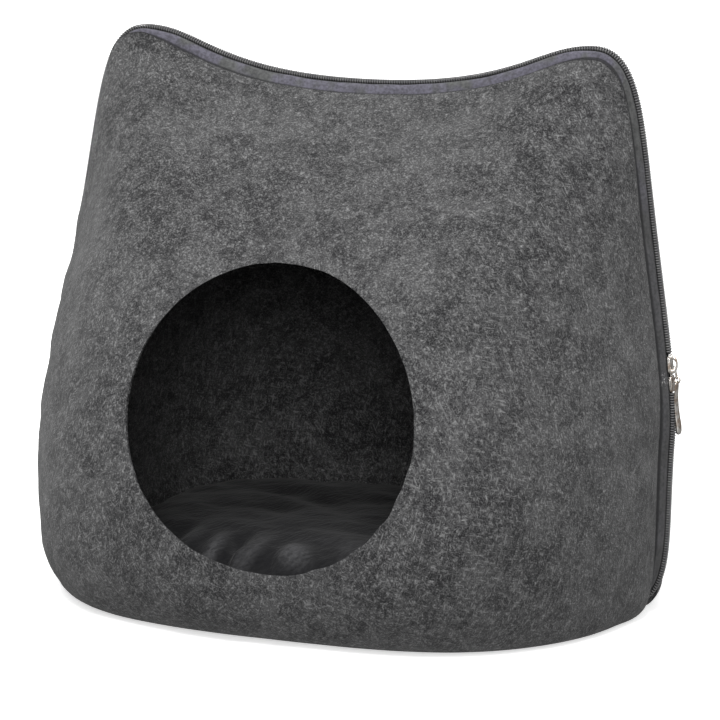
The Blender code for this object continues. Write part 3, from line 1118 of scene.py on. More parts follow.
    def drawn_in(self, points: Points, gap: Points) -> Points:
        """Draw the front's low corners in, away from the felt's edge.

        Args:
            points: Places on the felt.
            gap: How far each one is from the edges along the zip.

        Returns:
            The places, moved across.
        """
        x, y, z = points.T
        amount = np.where(
            x < 0, from_table(self.drawn_in_left, z), -from_table(self.drawn_in_right, z),
        )
        for place, (begin, over) in ((np.abs(x), self.drawn_in_aside), (-y, self.drawn_in_front)):
            amount = amount * smooth((place - begin) / over)
        moved = amount * smooth(gap / self.drawn_in_fade)
        return points + np.column_stack([moved, 0 * x, 0 * x])

    def belly(self, x: Points, z: Points) -> Points:
        """Distance of the felt's outer face from the zip's plane.

        Args:
            x: Places across, in metres.
            z: Heights, in metres.

        Returns:
            The distance at each place, in metres.
        """
        side, ridge = self.felt_edge[self.steps:][::-1], self.felt_edge[:self.steps + 1]
        across = np.minimum(np.abs(x) / np.interp(z, side[:, 1], side[:, 0]), 1.0)
        up = np.clip(z / np.interp(np.abs(x), ridge[:, 0], ridge[:, 1]), 0.0, 1.0)
        squareness, rounding = blend(*self.squareness, up), blend(*self.rounding, up)
        low = np.clip(1 - z / self.undercut_height, 0.0, 1.0)
        level = self.belly_depth * (1 - up ** self.lean_power)
        level = level - self.undercut * (1 - np.sqrt(1 - low ** 2))
        return self.edge_depth + np.maximum(level, 0) * (1 - across ** squareness) ** rounding


@dataclass(frozen=True)
class Fold:
    """A soft trough in a face, between two of its places."""

    start: Pair
    end: Pair
    width: float
    depth: float
    # Share of its length over which each end fades.
    fade: float = 0.35

    def at(self, across: Points, up: Points) -> Points:
        """How far the trough presses the face in.

        Args:
            across: Places across the face.
            up: Places up the face, or towards its back.

        Returns:
            The depth at each place, in metres.
        """
        begin, run = np.array(self.start), np.subtract(self.end, self.start)
        length = float(np.hypot(*run))
        offset = np.stack([across, up], axis=1) - begin
        along = offset @ run / length ** 2
        aside = (offset @ np.array([-run[1], run[0]])) / length
        ends = smooth(along / self.fade) * smooth((1 - along) / self.fade)
        return self.depth * np.exp(-(aside / self.width) ** 2) * ends


@dataclass
class FeltPouch:
    """The felt in one piece: front with its oval opening, underside and back."""

    outline: CaveOutline
    thickness: float = 0.004
    centre: Pair = (-0.002, 0.1253)
    oval_half: Pair = (0.0860, 0.0785)
    oval_turn: float = math.radians(32)
    columns: int = 150
    wall_rows: int = 108
    base_rows: int = 34
    side_swell: float = 0.12
    ridge_swell: float = 0.12
    # Passes that even out the grid near the ears, and how fast they fade away
    # from there.
    ear_passes: int = 900
    ear_power: int = 3
    # Faces nearer than this, in the opening's radii, make room for its rings.
    cleared: float = 1.065
    rings: int = 4
    angle_passes: int = 30
    relaxed: float = 1.35
    relax_passes: int = 60
    relax_share: float = 0.6
    cut_radius: float = 0.0011
    sharp: float = 50.0
    rim_spread: float = 0.0030
    # Slow unevenness, fine ripples, puckers along the zip and a wandering edge.
    sag: Unevenness = Unevenness(3, 0.080, 0.170, 0.0009)
    ripple: Unevenness = Unevenness(5, 0.016, 0.036, 0.00025)
    uneven_fade: float = 0.020
    pucker: Unevenness = Unevenness(8, 0.014, 0.040, 0.0006)
    pucker_reach: Pair = (0.006, 0.016)
    wander: Unevenness = Unevenness(12, 0.010, 0.035, 0.0003)
    wander_reach: float = 0.004
    fold_fade: float = 0.010
    off_floor: float = 0.012
    middle: Triple = (0.0, 0.0, 0.15)
    folds: tuple[Fold, ...] = (
        Fold((-0.089, 0.300), (-0.085, 0.244), 0.0042, 0.0026),
        Fold((-0.080, 0.262), (-0.050, 0.236), 0.0060, 0.0010),
        Fold((0.076, 0.262), (0.138, 0.080), 0.014, -0.0016),
    )
    flat: Pair = (0.61, 1.03)
    flat_area: float = 0.385

    def _wall(self) -> Points:
        """Lay out the front wall as a grid that follows its outline.

        Returns:
            Places (x, z), in rows from the ridge to the foot.
        """
        shape, half = self.outline, self.columns // 2
        heights = crowded(self.wall_rows, self.side_swell, 2)
        shares = np.sin(math.pi / 2 * np.arange(half + 1) / half)[:, None]
        side = resample(shape.felt_edge[shape.ear_bend:][::-1], heights)
        ridge = resample(shape.felt_edge[:shape.ear_bend + 1], crowded(half, self.ridge_swell, 1))
        ear = ridge[-1]
        foot = shape.foot_width
        x = (
            side[None, :, 0] * shares
            + blend(foot * shares, ridge[:, :1], heights)
            - blend(foot, ear[0], heights) * shares
        )
        z = side[None, :, 1] + heights * (ridge[:, 1:] - ear[1])
        grid = np.stack([x, z], axis=2)
        i, j = np.meshgrid(np.arange(half + 1), np.arange(self.wall_rows + 1), indexing="ij")
        pull = ((i / half * j / self.wall_rows) ** self.ear_power)[1:-1, 1:-1, None]
        for _ in range(self.ear_passes):
            mean = (grid[:-2, 1:-1] + grid[2:, 1:-1] + grid[1:-1, :-2] + grid[1:-1, 2:]) / 4
            grid[1:-1, 1:-1] += (mean - grid[1:-1, 1:-1]) * pull
        left = grid[:0:-1] * np.array([-1.0, 1.0])
        return np.concatenate([left, grid]).transpose(1, 0, 2)[::-1]

    @property
    def _oval_axes(self) -> Points:
        """The directions of the opening's two axes, as rows."""
        cos, sin = math.cos(self.oval_turn), math.sin(self.oval_turn)
        return np.array([[cos, -sin], [sin, cos]])

    def _oval(self, places: Points) -> Points:
        """Places as the opening sees them: its edge is at distance 1."""
        return (places - np.array(self.centre)) @ self._oval_axes.T / np.array(self.oval_half)

    def _on_oval(self, angles: Points) -> Points:
        """Places on the opening's edge."""
        round_it = np.stack([np.cos(angles), np.sin(angles)], axis=1) * np.array(self.oval_half)
        return round_it @ self._oval_axes + np.array(self.centre)

    @staticmethod
    def _hole_loop(kept: Points, removed: Points) -> list[int]:
        """Walk round the edges that kept and removed faces share.

        Args:
            kept: Faces that stay.
            removed: Faces that go.

        Returns:
            The numbers of the points on the way.
        """
        def edges(faces: Points) -> set[tuple[int, int]]:
            """Directed edges of some faces."""
            return {(int(f[k]), int(f[(k + 1) % 4])) for f in faces for k in range(4)}

        inner = edges(removed)
        following = {b: a for a, b in edges(kept) if (b, a) in inner}
        loop = [next(iter(following))]
        while following[loop[-1]] != loop[0]:
            loop.append(following[loop[-1]])
        return loop

    def _even_angles(self, places: Points) -> Points:
        """Angles round the opening for a loop of places, evened out.

        Args:
            places: The loop's places (x, z).

        Returns:
            An angle for each place, which as a whole stay where they were.
        """
        seen = self._oval(places)
        angles = np.unwrap(np.arctan2(seen[:, 1], seen[:, 0]))
        turn = math.copysign(2 * math.pi, angles[-1] - angles[0])
        steps = np.diff(np.append(angles, angles[0] + turn))
        for _ in range(self.angle_passes):
            steps = (np.roll(steps, 1) + 2 * steps + np.roll(steps, -1)) / 4
        found = angles[0] + np.concatenate([[0.0], np.cumsum(steps)[:-1]])
        return found + (angles - found).mean()

    def _front(self, wall: Points) -> tuple[Points, Points, list[int]]:
        """Cut the opening into the wall and ring it with faces.

        Args:
            wall: The wall's places, in rows.

        Returns:
            Places (x, z), faces and the numbers of the opening's points.
        """
        places = wall.reshape(-1, 2)
        faces = grid_faces(*wall.shape[:2])
        away = np.linalg.norm(self._oval(places), axis=1)
        hit = (away[faces] < self.cleared).any(axis=1)
        ring = self._hole_loop(faces[~hit], faces[hit])
        faces, begin = faces[~hit], places[ring]
        target = self._on_oval(self._even_angles(begin))
        for k in range(1, self.rings + 1):
            inner = list(range(len(places), len(places) + len(ring)))
            places = np.concatenate([places, blend(begin, target, k / self.rings)])
            band = np.stack([ring, np.roll(ring, -1), np.roll(inner, -1), inner], axis=1)
            faces = np.concatenate([faces, band])
            ring = inner
        return self._relax(places, faces, np.array(ring)), faces, ring

    def _sheet(self) -> tuple[Points, Points, list[int], int]:
        """Lay out the whole felt as one open sheet.

        Returns:
            Points, faces, the opening's loop and the number of front points.
        """
        wall = self._wall()
        rows, width = wall.shape[:2]
        places, faces, ring = self._front(wall)
        front = np.column_stack([places[:, 0], -self.outline.belly(*places.T), places[:, 1]])
        count = len(front)
        wall = front[:rows * width].reshape(rows, width, 3)
        shares = 1 - 2 * np.arange(1, self.base_rows) / self.base_rows
        across = np.stack([np.ones_like(shares), shares, np.zeros_like(shares)], axis=1)
        base = wall[-1][None] * across[:, None]
        rest = np.concatenate([base, wall[::-1] * np.array([1.0, -1.0, 1.0])])
        last = (rows - 1) * width
        join = [(last + i, count + i, count + i + 1, last + i + 1) for i in range(width - 1)]
        faces = np.concatenate([faces, grid_faces(len(rest), width, count), np.array(join)])
        return np.concatenate([front, rest.reshape(-1, 3)]), faces, ring, count

    def _relax(self, places: Points, faces: Points, fixed: Points) -> Points:
        """Even out the places near the opening, with its edge held.

        Args:
            places: Places (x, z), which are moved.
            faces: The faces between them.
            fixed: Numbers of the points that stay.

        Returns:
            The places.
        """
        edges = np.unique(np.sort(edges_of(faces), axis=1), axis=0)
        free = np.linalg.norm(self._oval(places), axis=1) < self.relaxed
        free[fixed] = False
        used = np.zeros(len(places), bool)
        used[edges] = True
        free &= used
        for _ in range(self.relax_passes):
            total, count = np.zeros_like(places), np.zeros(len(places))
            for near, far in ((0, 1), (1, 0)):
                np.add.at(total, edges[:, near], places[edges[:, far]])
                np.add.at(count, edges[:, near], 1)
            mean = total[free] / count[free, None]
            places[free] = blend(places[free], mean, self.relax_share)
        return places

    def build(self) -> bpy.types.Object:
        """Make the felt with its thickness and its cut edges.

        Returns:
            The piece, whose points carry how far they are from the zip.
        """
        points, faces, ring, front = self._sheet()
        used, faces_used = np.unique(faces, return_inverse=True)
        faces_used = faces_used.reshape(faces.shape)
        face = mesh_object("felt_face", points[used], faces_used)
        is_rim = np.isin(used, ring)
        gap = self._shape(face.data, used < front, is_rim)
        outer, normals = points_of(face.data), normals_of(face.data)
        bpy.data.objects.remove(face)
        piece = self._thickened(outer, normals, faces_used, is_rim)
        carry(piece, "from_zip", np.concatenate([gap, gap + self.thickness]))
        round_edges(piece, self.cut_radius, 2, self.sharp)
        return piece

    def _thickened(
        self, outer: Points, normals: Points, faces: Points, is_rim: Points
    ) -> bpy.types.Object:
        """Give the felt its thickness; the opening is wider on the inside.

        Args:
            outer: Points of the outer face.
            normals: Its normals.
            faces: Corner numbers of its faces.
            is_rim: Which points are on the opening's edge.

        Returns:
            The closed piece, outer points first.
        """
        inner = outer - normals * self.thickness
        middle = np.array([self.centre[0], 0.0, self.centre[1]])
        away = (outer - middle) * np.array([1.0, 0.0, 1.0])
        inner[is_rim] += unit(away[is_rim]) * self.rim_spread
        count = len(outer)
        present = {(int(a), int(b)) for a, b in edges_of(faces)}
        border = [(a, b) for a, b in present if (b, a) not in present]
        walls = [(b, a, a + count, b + count) for a, b in sorted(border)]
        every = np.concatenate([faces, faces[:, ::-1] + count, np.array(walls)])
        return mesh_object("felt_pouch", np.concatenate([outer, inner]), every)

    def _shape(self, mesh: bpy.types.Mesh, on_front: Points, is_rim: Points) -> Points:
        """Press unevenness, puckers and folds into the felt's face.

        Args:
            mesh: The face.
            on_front: Which points are on the front.
            is_rim: Which points are on the opening's edge.

        Returns:
            Each point's distance from the edges along the zip.
        """
        points, normals = points_of(mesh), normals_of(mesh)
        bm = bmesh.new()
        bm.from_mesh(mesh)
        border = np.array([v.is_boundary for v in bm.verts])
        bm.free()
        zip_edge = points[border & ~is_rim]
        found, from_zip = nearest(points, zip_edge)
        _, from_rim = nearest(points, points[is_rim])
        gap = np.minimum(from_zip, from_rim)

        inside = smooth(gap / self.uneven_fade)
        lift = self.sag.at(points) * inside + self.ripple.at(points) * inside
        begin, reach = self.pucker_reach
        pucker = self.pucker.at(zip_edge[found]) * np.exp(-from_zip / reach)
        lift += pucker * smooth(from_zip / begin)
        for fold in self.folds:
            depth = fold.at(points[:, 0], points[:, 2])
            lift -= depth * on_front * smooth(gap / self.fold_fade)
        lift *= np.clip(points[:, 2] / self.off_floor, 0.0, 1.0)
        points = points + normals * lift[:, None]
        points = self.outline.drawn_out(points, from_zip)
        points = self.outline.drawn_in(points, from_zip)

        inward = unit(np.array(self.middle) - points)
        inward = unit(inward - normals * (inward * normals).sum(axis=1)[:, None])
        fade = np.exp(-gap / self.wander_reach) * smooth(points[:, 2] / self.off_floor)
        set_points(mesh, points + inward * (self.wander.at(points) * fade)[:, None])
        return from_zip

    def dress(self, piece: bpy.types.Object) -> None:
        """Finish, declare and place the felt.

        Args:
            piece: What build made.
        """
        Finish.FELT.dress(piece)
        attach(piece, BODY)
        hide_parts("felt_body")


# ------------------------------------------------------------------- the zip

@dataclass
class ZipTape:
    """One tape of the zip, sewn under the felt's edge all along the seam."""

    outline: CaveOutline
    # -1 for the front tape, 1 for the one at the back.
    side: int
    thickness: float = 0.0009
    cut_radius: float = 0.00025
    sharp: float = 55.0
    felt_thickness: float = 0.004
    lap: float = 0.005
    gap: float = 0.0008
    drop: float = 0.0004
    # The stretch beside the coil, as distances from the zip's plane.
    inner: float = 0.0006
    flat_to: float = 0.0054
    # Steps beside the coil, from there to the felt's edge, and in the lap.
    spans: tuple[int, ...] = (3, 7, 3)
    spacing: float = 0.0020
    beside: float = 0.006
    tuck_stations: int = 8
    tuck_start: float = 0.1
    # The waves of the front tape and of the one at the back.
    waves: tuple[Unevenness, ...] = (
        Unevenness(20, 0.012, 0.045, 0.00025),
        Unevenness(22, 0.012, 0.045, 0.00025),
    )
    # How much more of the tape's width is painted dark as shade beside the felt at the sides, and
    # from
    # where: places along X and across the tape, and the lengths it grows over.
    extra_shade_width: float = 0.0022
    extra_shade_aside: Pair = (0.148, 0.025)
    extra_shade_across: Pair = (0.003, 0.004)
    # Where the painted light that makes the tape paler along the top begins, and the height it
    # grows over.
    ridge: Pair = (0.22, 0.07)
    # The tacking stitches beside the sliders.
    tack_height: float = 0.1385
    tack_reach: float = 0.0048
    tack_strength: float = 1.4
    tack_across: Pair = (0.0025, 0.002)
    flat: Pair = (0.0175, 1.13)
    flip: Points = field(default_factory=lambda: np.array([-1.0, 1.0, 1.0]))

    def _edge_and_lap(self) -> tuple[Points, Points]:
        """Places along the felt's edge on the right half.

        Returns:
            The edge, from the ridge's middle to its tucked end, and the
            direction from there into the felt.
        """
        shape = self.outline
        line = shape.felt_edge
        whole = lengths_of(line)[-1]
        edge = at_lengths(line, np.linspace(0.0, whole, int(whole / self.spacing) + 1))
        beside = np.maximum(edge + aside_of(edge) * self.beside, 0.0)
        deep = np.full(len(edge), -shape.edge_depth)
        edge = np.column_stack([edge[:, 0], deep, edge[:, 1]])
        beside = np.column_stack([beside[:, 0], -shape.belly(*beside.T), beside[:, 1]])

        tucked = np.linspace(self.tuck_start, 1.0, self.tuck_stations)
        x = blend(shape.foot_width, shape.tuck_width, tucked)
        low = np.column_stack([x, np.full(len(x), -shape.edge_depth), np.zeros(len(x))])
        edge = np.concatenate([edge, low])
        beside = np.concatenate([beside, low + np.array([0.0, -shape.edge_depth, 0.0])])
        return edge, unit(evened(unit(beside - edge), 6))

    def _beside_seam(self, edge: Points) -> Points:
        """Match places on the felt's edge with places just inside the seam.

        Args:
            edge: Places on the felt's edge.

        Returns:
            The nearest place of the seam for each, a little lower.
        """
        seam = self.outline.seam
        goals = np.column_stack([edge[:, 0], np.maximum(edge[:, 2], self.outline.tuck_height)])
        found = [int(np.argmin(((seam - goal) ** 2).sum(axis=1))) for goal in goals]
        found[0] = 0
        places = seam[found] + aside_of(seam)[found] * self.drop
        return np.column_stack([places[:, 0], np.zeros(len(places)), places[:, 1]])

    def _sections(self, mirrored: bool) -> Points:
        """Shape the front tape on one half of the seam.

        Args:
            mirrored: Whether it is the left half, given as if on the right.

        Returns:
            Rows of places that follow the seam, from the coil to the lap.
        """
        edge, lap = self._edge_and_lap()
        run = np.gradient(edge, axis=0)
        run[0] = (1.0, 0.0, 0.0)
        below = unit(np.cross(evened(run, 4), lap)) * (self.felt_thickness + self.gap)
        top = self._beside_seam(edge)
        flip = self.flip if mirrored else 1.0
        edge = self.outline.drawn_out(edge * flip, np.zeros(len(edge))) * flip
        corners = [
            top - np.array([0.0, self.inner, 0.0]),
            top - np.array([0.0, self.flat_to, 0.0]),
            edge + below,
            edge + below + lap * self.lap,
        ]
        rows = []
        for a, b, steps in zip(corners, corners[1:], self.spans):
            rows += [blend(a, b, k / steps) for k in range(steps)]
        return evened(np.stack([*rows, corners[-1]]), 2)

    def _carry_looks(self, piece: bpy.types.Object, lines: Points, width: Points) -> None:
        """Let the points carry what the tape's finish reads.

        Args:
            piece: The tape.
            lines: Its places, in rows along the seam.
            width: Length across the tape at each row.
        """
        x, _, z = np.moveaxis(lines, 2, 0)
        weave = np.zeros(lines.shape)
        weave[..., 0] = (width if self.side < 0 else width[-1] - width)[:, None]
        # Painted shade beside the felt reaches further across the tape at the sides.
        (x_begin, x_over), (begin, over) = self.extra_shade_aside, self.extra_shade_across
        aside = smooth((np.abs(x) - x_begin) / x_over)
        weave[..., 0] += self.extra_shade_width * aside * smooth((weave[..., 0] - begin) / over)
        weave[..., 1] = lengths_of(lines[len(lines) // 2])[None]
        # Painted light: a share that grows towards the top of the cave.
        weave[..., 2] = smooth((z - self.ridge[0]) / self.ridge[1])
        carry(piece, "weave", weave.reshape(-1, 3))

        near = 1 - np.abs(z - self.tack_height) / self.tack_reach
        begin, over = self.tack_across
        tack = smooth(self.tack_strength * near) * (x > 0)
        carry(piece, "tack", (tack * smooth((weave[..., 0] - begin) / over)).ravel())

    def build(self) -> bpy.types.Object:
        """Make the tape from one tucked end to the other.

        Returns:
            The piece.
        """
        left = self._sections(True)[:, :0:-1] * self.flip
        lines = np.concatenate([left, self._sections(False)], axis=1)
        if self.side > 0:
            lines = (lines * np.array([1.0, -1.0, 1.0]))[::-1]
        name = "tape_front" if self.side < 0 else "tape_back"
        rows, columns = lines.shape[:2]
        piece = mesh_object(name, lines.reshape(-1, 3), grid_faces(rows, columns))
        points = points_of(piece.data)
        wave = self.waves[self.side > 0].at(points)
        share = np.repeat(np.arange(rows) / (rows - 1), columns)
        bulge = np.sin(math.pi * (share if self.side < 0 else 1 - share))
        set_points(piece.data, points + normals_of(piece.data) * (wave * bulge)[:, None])
        self._carry_looks(piece, lines, lengths_of(lines[:, columns // 2]))
        solid = piece.modifiers.new("thickness", "SOLIDIFY")
        solid.thickness = self.thickness
        solid.offset = -1.0
        solid.use_even_offset = True
        round_edges(piece, self.cut_radius, 1, self.sharp)
        return piece

    def dress(self, piece: bpy.types.Object) -> None:
        """Finish, declare and place the tape.

        Args:
            piece: What build made.
        """
        Finish.TAPE.dress(piece)
        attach(piece, BODY)
        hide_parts("zip_tape_front" if self.side < 0 else "zip_tape_back")


@dataclass
class ZipCoil:
    """The closed coil: two flattened spirals whose heads interlock."""

    outline: CaveOutline
    pitch: float = 0.0015
    wire: float = 0.00036
    sides: int = 6
    core_half_width: float = 0.0026
    core_heights: Pair = (-0.0009, 0.0012)
    core_step: float = 0.003
    # Heights between which the sliders part the coil on the right side.
    slider_gap: Pair = (0.1300, 0.1525)
    below_ear: float = 0.25
    # One turn of the front spiral: place across, height over the seam and
    # share of the pitch.
    turn: tuple[Triple, ...] = (
        (-0.00270, 0.00010, 0.00),
        (-0.00312, 0.00050, 0.00),
        (-0.00310, 0.00120, 0.00),
        (-0.00255, 0.00176, 0.00),
        (-0.00070, 0.00184, 0.00),
        (0.00030, 0.00174, 0.02),
        (0.00066, 0.00125, 0.12),
        (0.00045, 0.00070, 0.30),
        (-0.00060, 0.00045, 0.55),
        (-0.00170, 0.00025, 0.85),
    )

    @cached_property
    def line(self) -> Points:
        """The whole seam (x, z), from its left end to its right end."""
        right = self.outline.seam
        return np.concatenate([right[:0:-1] * np.array([-1.0, 1.0]), right])

    def _at(self, along: Points) -> tuple[Points, Points, Points]:
        """Follow the seam.

        Args:
            along: Lengths along it.

        Returns:
            Place, run and outward direction at each length.
        """
        lengths, sides = lengths_of(self.line), aside_of(self.line)
        place = at_lengths(self.line, along)
        in_x, in_z = unit(np.stack([np.interp(along, lengths, side) for side in sides.T], 1)).T
        flat = np.zeros(len(along))
        return (
            np.column_stack([place[:, 0], flat, place[:, 1]]),
            np.column_stack([-in_z, flat, in_x]),
            np.column_stack([-in_x, flat, -in_z]),
        )

    def _spiral(self, start: float, end: float, side: int) -> tuple[Points, Points]:
        """Wind one spiral between two lengths.

        Args:
            start: Length along the seam where it starts.
            end: Length where it ends.
            side: -1 for the front spiral, 1 for the one at the back.

        Returns:
            Its points and faces.
        """
        turns = int((end - start) / self.pitch)
        across, height, share = np.array(self.turn).T
        offset = 0.5 if side > 0 else 0.0
        along = start + (np.arange(turns)[:, None] + share[None] + offset) * self.pitch
        place, run, out = self._at(along.ravel())
        path = place + out * np.tile(height, turns)[:, None]
        path[:, 1] -= side * np.tile(across, turns)
        tangent = unit(np.gradient(path, axis=0))
        first = unit(run - tangent * (run * tangent).sum(1)[:, None])
        second = np.cross(tangent, first)
        angles = 2 * math.pi * np.arange(self.sides) / self.sides
        rings = path[:, None] + self.wire * (
            np.cos(angles)[None, :, None] * first[:, None]
            + np.sin(angles)[None, :, None] * second[:, None]
        )
        return rings.reshape(-1, 3), tube_faces(len(path), self.sides)

    def _core(self, start: float, end: float) -> tuple[Points, Points]:
        """Lay the cord inside the turns, as a flat strip with four edges.

        Args:
            start: Length along the seam where it starts.
            end: Length where it ends.

        Returns:
            Its points and faces.
        """
        along = np.linspace(start, end, int((end - start) / self.core_step) + 2)
        place, _, out = self._at(along)
        y = np.array([0.0, self.core_half_width, 0.0])
        low, high = (place + out * height for height in self.core_heights)
        rings = np.stack([low - y, low + y, high + y, high - y], axis=1)
        last = 4 * (len(along) - 1)
        ends = np.array([(0, 1, 2, 3), (last + 3, last + 2, last + 1, last)])
        faces = np.concatenate([tube_faces(len(along), 4)[:, ::-1], ends])
        return rings.reshape(-1, 3), faces

    def _piece(self, name: str, start: float, end: float) -> bpy.types.Object:
        """Make both spirals and the core between two lengths.

        Args:
            name: The piece's name.
            start: Length along the seam where it starts.
            end: Length where it ends.

        Returns:
            The piece, whose points carry whether they are on a turn.
        """
        core = self._core(start, end)
        parts = [self._spiral(start, end, -1), self._spiral(start, end, 1), core]
        first, points, faces = 0, [], []
        for part_points, part_faces in parts:
            points.append(part_points)
            faces.append(part_faces + first)
            first += len(part_points)
        piece = mesh_object(name, np.concatenate(points), np.concatenate(faces))
        carry(piece, "depth", (np.arange(first) < first - len(core[0])).astype(float))
        bm = bmesh.new()
        bm.from_mesh(piece.data)
        bmesh.ops.holes_fill(bm, edges=[e for e in bm.edges if e.is_boundary], sides=self.sides)
        bmesh.ops.recalc_face_normals(bm, faces=bm.faces)
        bm.to_mesh(piece.data)
        bm.free()
        return piece

    def build(self) -> list[bpy.types.Object]:
        """Make the long and the short piece, on each side of the sliders.

        Returns:
            The two pieces.
        """
        lengths, (x, z) = lengths_of(self.line), self.line.T
        right = (x > self.outline.ear_offset) & (z < self.below_ear)
        low, high = (
            float(np.interp(-height, -z[right], lengths[right])) for height in self.slider_gap
        )
        return [
            self._piece("coil_long", 0.0, high),
            self._piece("coil_short", low, lengths[-1]),
        ]

    def dress(self, pieces: Sequence[bpy.types.Object]) -> None:
        """Finish and place the coil.

        Args:
            pieces: What build made.
        """
        for piece, node in zip(pieces, ("zip_coil_long", "zip_coil_short")):
            Finish.COIL.dress(piece)
            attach(piece, BODY)
            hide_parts(node)


# -------------------------------------------------------------- the hardware

def squared(angle: float, power: float) -> Pair:
    """Cosine and sine of an angle on a rounded square instead of a circle."""
    c, s = math.cos(angle), math.sin(angle)
    return math.copysign(abs(c) ** power, c), math.copysign(abs(s) ** power, s)


@dataclass
class Slider:
    """A zip slider: two rounded plates, side lips and a bridge."""

    name: str
    node: str
    place: Matrix
    length: float
    # 1 where the slider lies above the place where the two meet, or else -1.
    up: int
    has_bail: bool
    gap: float = 0.0004
    outer: Pair = (0.0020, 0.0029)
    inner: Pair = (-0.0029, -0.0020)
    # Half width of a plate, and share of the length.
    outline: tuple[Pair, ...] = (
        (0.0032, 0.0), (0.0044, 0.09), (0.0048, 0.22), (0.0045, 0.5), (0.0039, 0.93),
        (0.0033, 1.0),
    )
    # Places along the outline, and those that a lip runs between.
    stations: int = 22
    lip_stations: tuple[int, int] = (4, -1)
    lip_width: float = 0.0006
    lip_drop: float = 0.0008
    lip_overlap: float = 0.0002
    bridge_half_width: float = 0.0011
    bridge_span: Pair = (0.10, 0.48)
    bail_centre: Pair = (0.0022, 0.0063)
    bail_half: Pair = (0.0037, 0.0043)
    bail_section: Pair = (0.00050, 0.0009)
    bail_leg: float = 0.00085
    bail_power: float = 0.6
    bail_steps: int = 18
    bail_sides: int = 12
    rounding: float = 0.00028
    sharp: float = 40.0

    def _rounded(self, shrink: float = 0.0) -> list[Pair]:
        """Smooth the plate's outline on one side.

        Args:
            shrink: How far inside the outline it runs.

        Returns:
            Places (y, z) from where the sliders meet to the far end.
        """
        start = self.gap / 2
        span = self.length - start
        half_widths, shares = np.array(self.outline).T
        share = np.linspace(0.0, 1.0, self.stations)
        widths = evened(np.interp(share, shares, half_widths), 3)
        return [(w - shrink, self.up * (start + s * span)) for w, s in zip(widths, share)]

    def _add_slab(self, bm: bmesh.types.BMesh, loop: Sequence[Pair], faces: Pair) -> None:
        """Add a flat slab.

        Args:
            bm: The slider's mesh.
            loop: The slab's outline (y, z).
            faces: Distances of its two faces from the seam.
        """
        add_skin(bm, [[bm.verts.new((x, y, z)) for y, z in loop] for x in faces])

    def _add_plates(self, bm: bmesh.types.BMesh) -> None:
        """Add both plates, their lips and the bridge between them.

        Args:
            bm: The slider's mesh.
        """
        half, inner_half = self._rounded(), self._rounded(self.lip_width)
        for faces in (self.outer, self.inner):
            self._add_slab(bm, half + [(-y, z) for y, z in reversed(half)], faces)
        first, last = self.lip_stations
        lip = half[first:last] + inner_half[first:last][::-1]
        low, high = self.outer[0], self.inner[1]
        for side in (-1, 1):
            loop = [(side * y, z) for y, z in lip]
            self._add_slab(bm, loop, (low - self.lip_drop, low + self.lip_overlap))
            self._add_slab(bm, loop, (high - self.lip_overlap, high + self.lip_drop))
        span = self.length - self.gap / 2
        ends = [self.up * (self.gap / 2 + share * span) for share in self.bridge_span]
        width = self.bridge_half_width
        loop = [(-width, ends[0]), (width, ends[0]), (width, ends[1]), (-width, ends[1])]
        self._add_slab(bm, loop, (sum(self.inner) / 2, sum(self.outer) / 2))

    def _add_bail(self, bm: bmesh.types.BMesh) -> None:
        """Add the arch that the pull hangs from.

        Args:
            bm: The slider's mesh.
        """
        (across, along), (x, z), rings = self.bail_half, self.bail_centre, []
        for k in range(self.bail_steps + 1):
            t = math.pi * k / self.bail_steps
            sin, cos = math.sin(t), math.cos(t)
            out = Vector((sin / across, 0, -cos / along)).normalized()
            centre = Vector((x + across * sin, 0.0, z - along * cos))
            radius = self.bail_section[0] + self.bail_leg * cos ** 2
            ring = []
            for n in range(self.bail_sides):
                r, y = squared(2 * math.pi * n / self.bail_sides, self.bail_power)
                aside = Vector((0, y * self.bail_section[1], 0))
                ring.append(bm.verts.new(centre + out * r * radius + aside))
            rings.append(ring)
        add_skin(bm, rings)

    def build(self) -> bpy.types.Object:
        """Make the slider in its place on the seam.

        Returns:
            The piece.
        """
        bm = bmesh.new()
        self._add_plates(bm)
        if self.has_bail:
            self._add_bail(bm)
        bmesh.ops.recalc_face_normals(bm, faces=bm.faces)
        piece = from_bmesh(self.name, bm, self.place)
        round_edges(piece, self.rounding, 3, self.sharp)
        return piece

    def dress(self, piece: bpy.types.Object) -> None:
        """Finish and place the slider.

        Args:
            piece: What build made.
        """
        Finish.METAL.dress(piece)
        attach(piece, BODY)
        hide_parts(self.node)


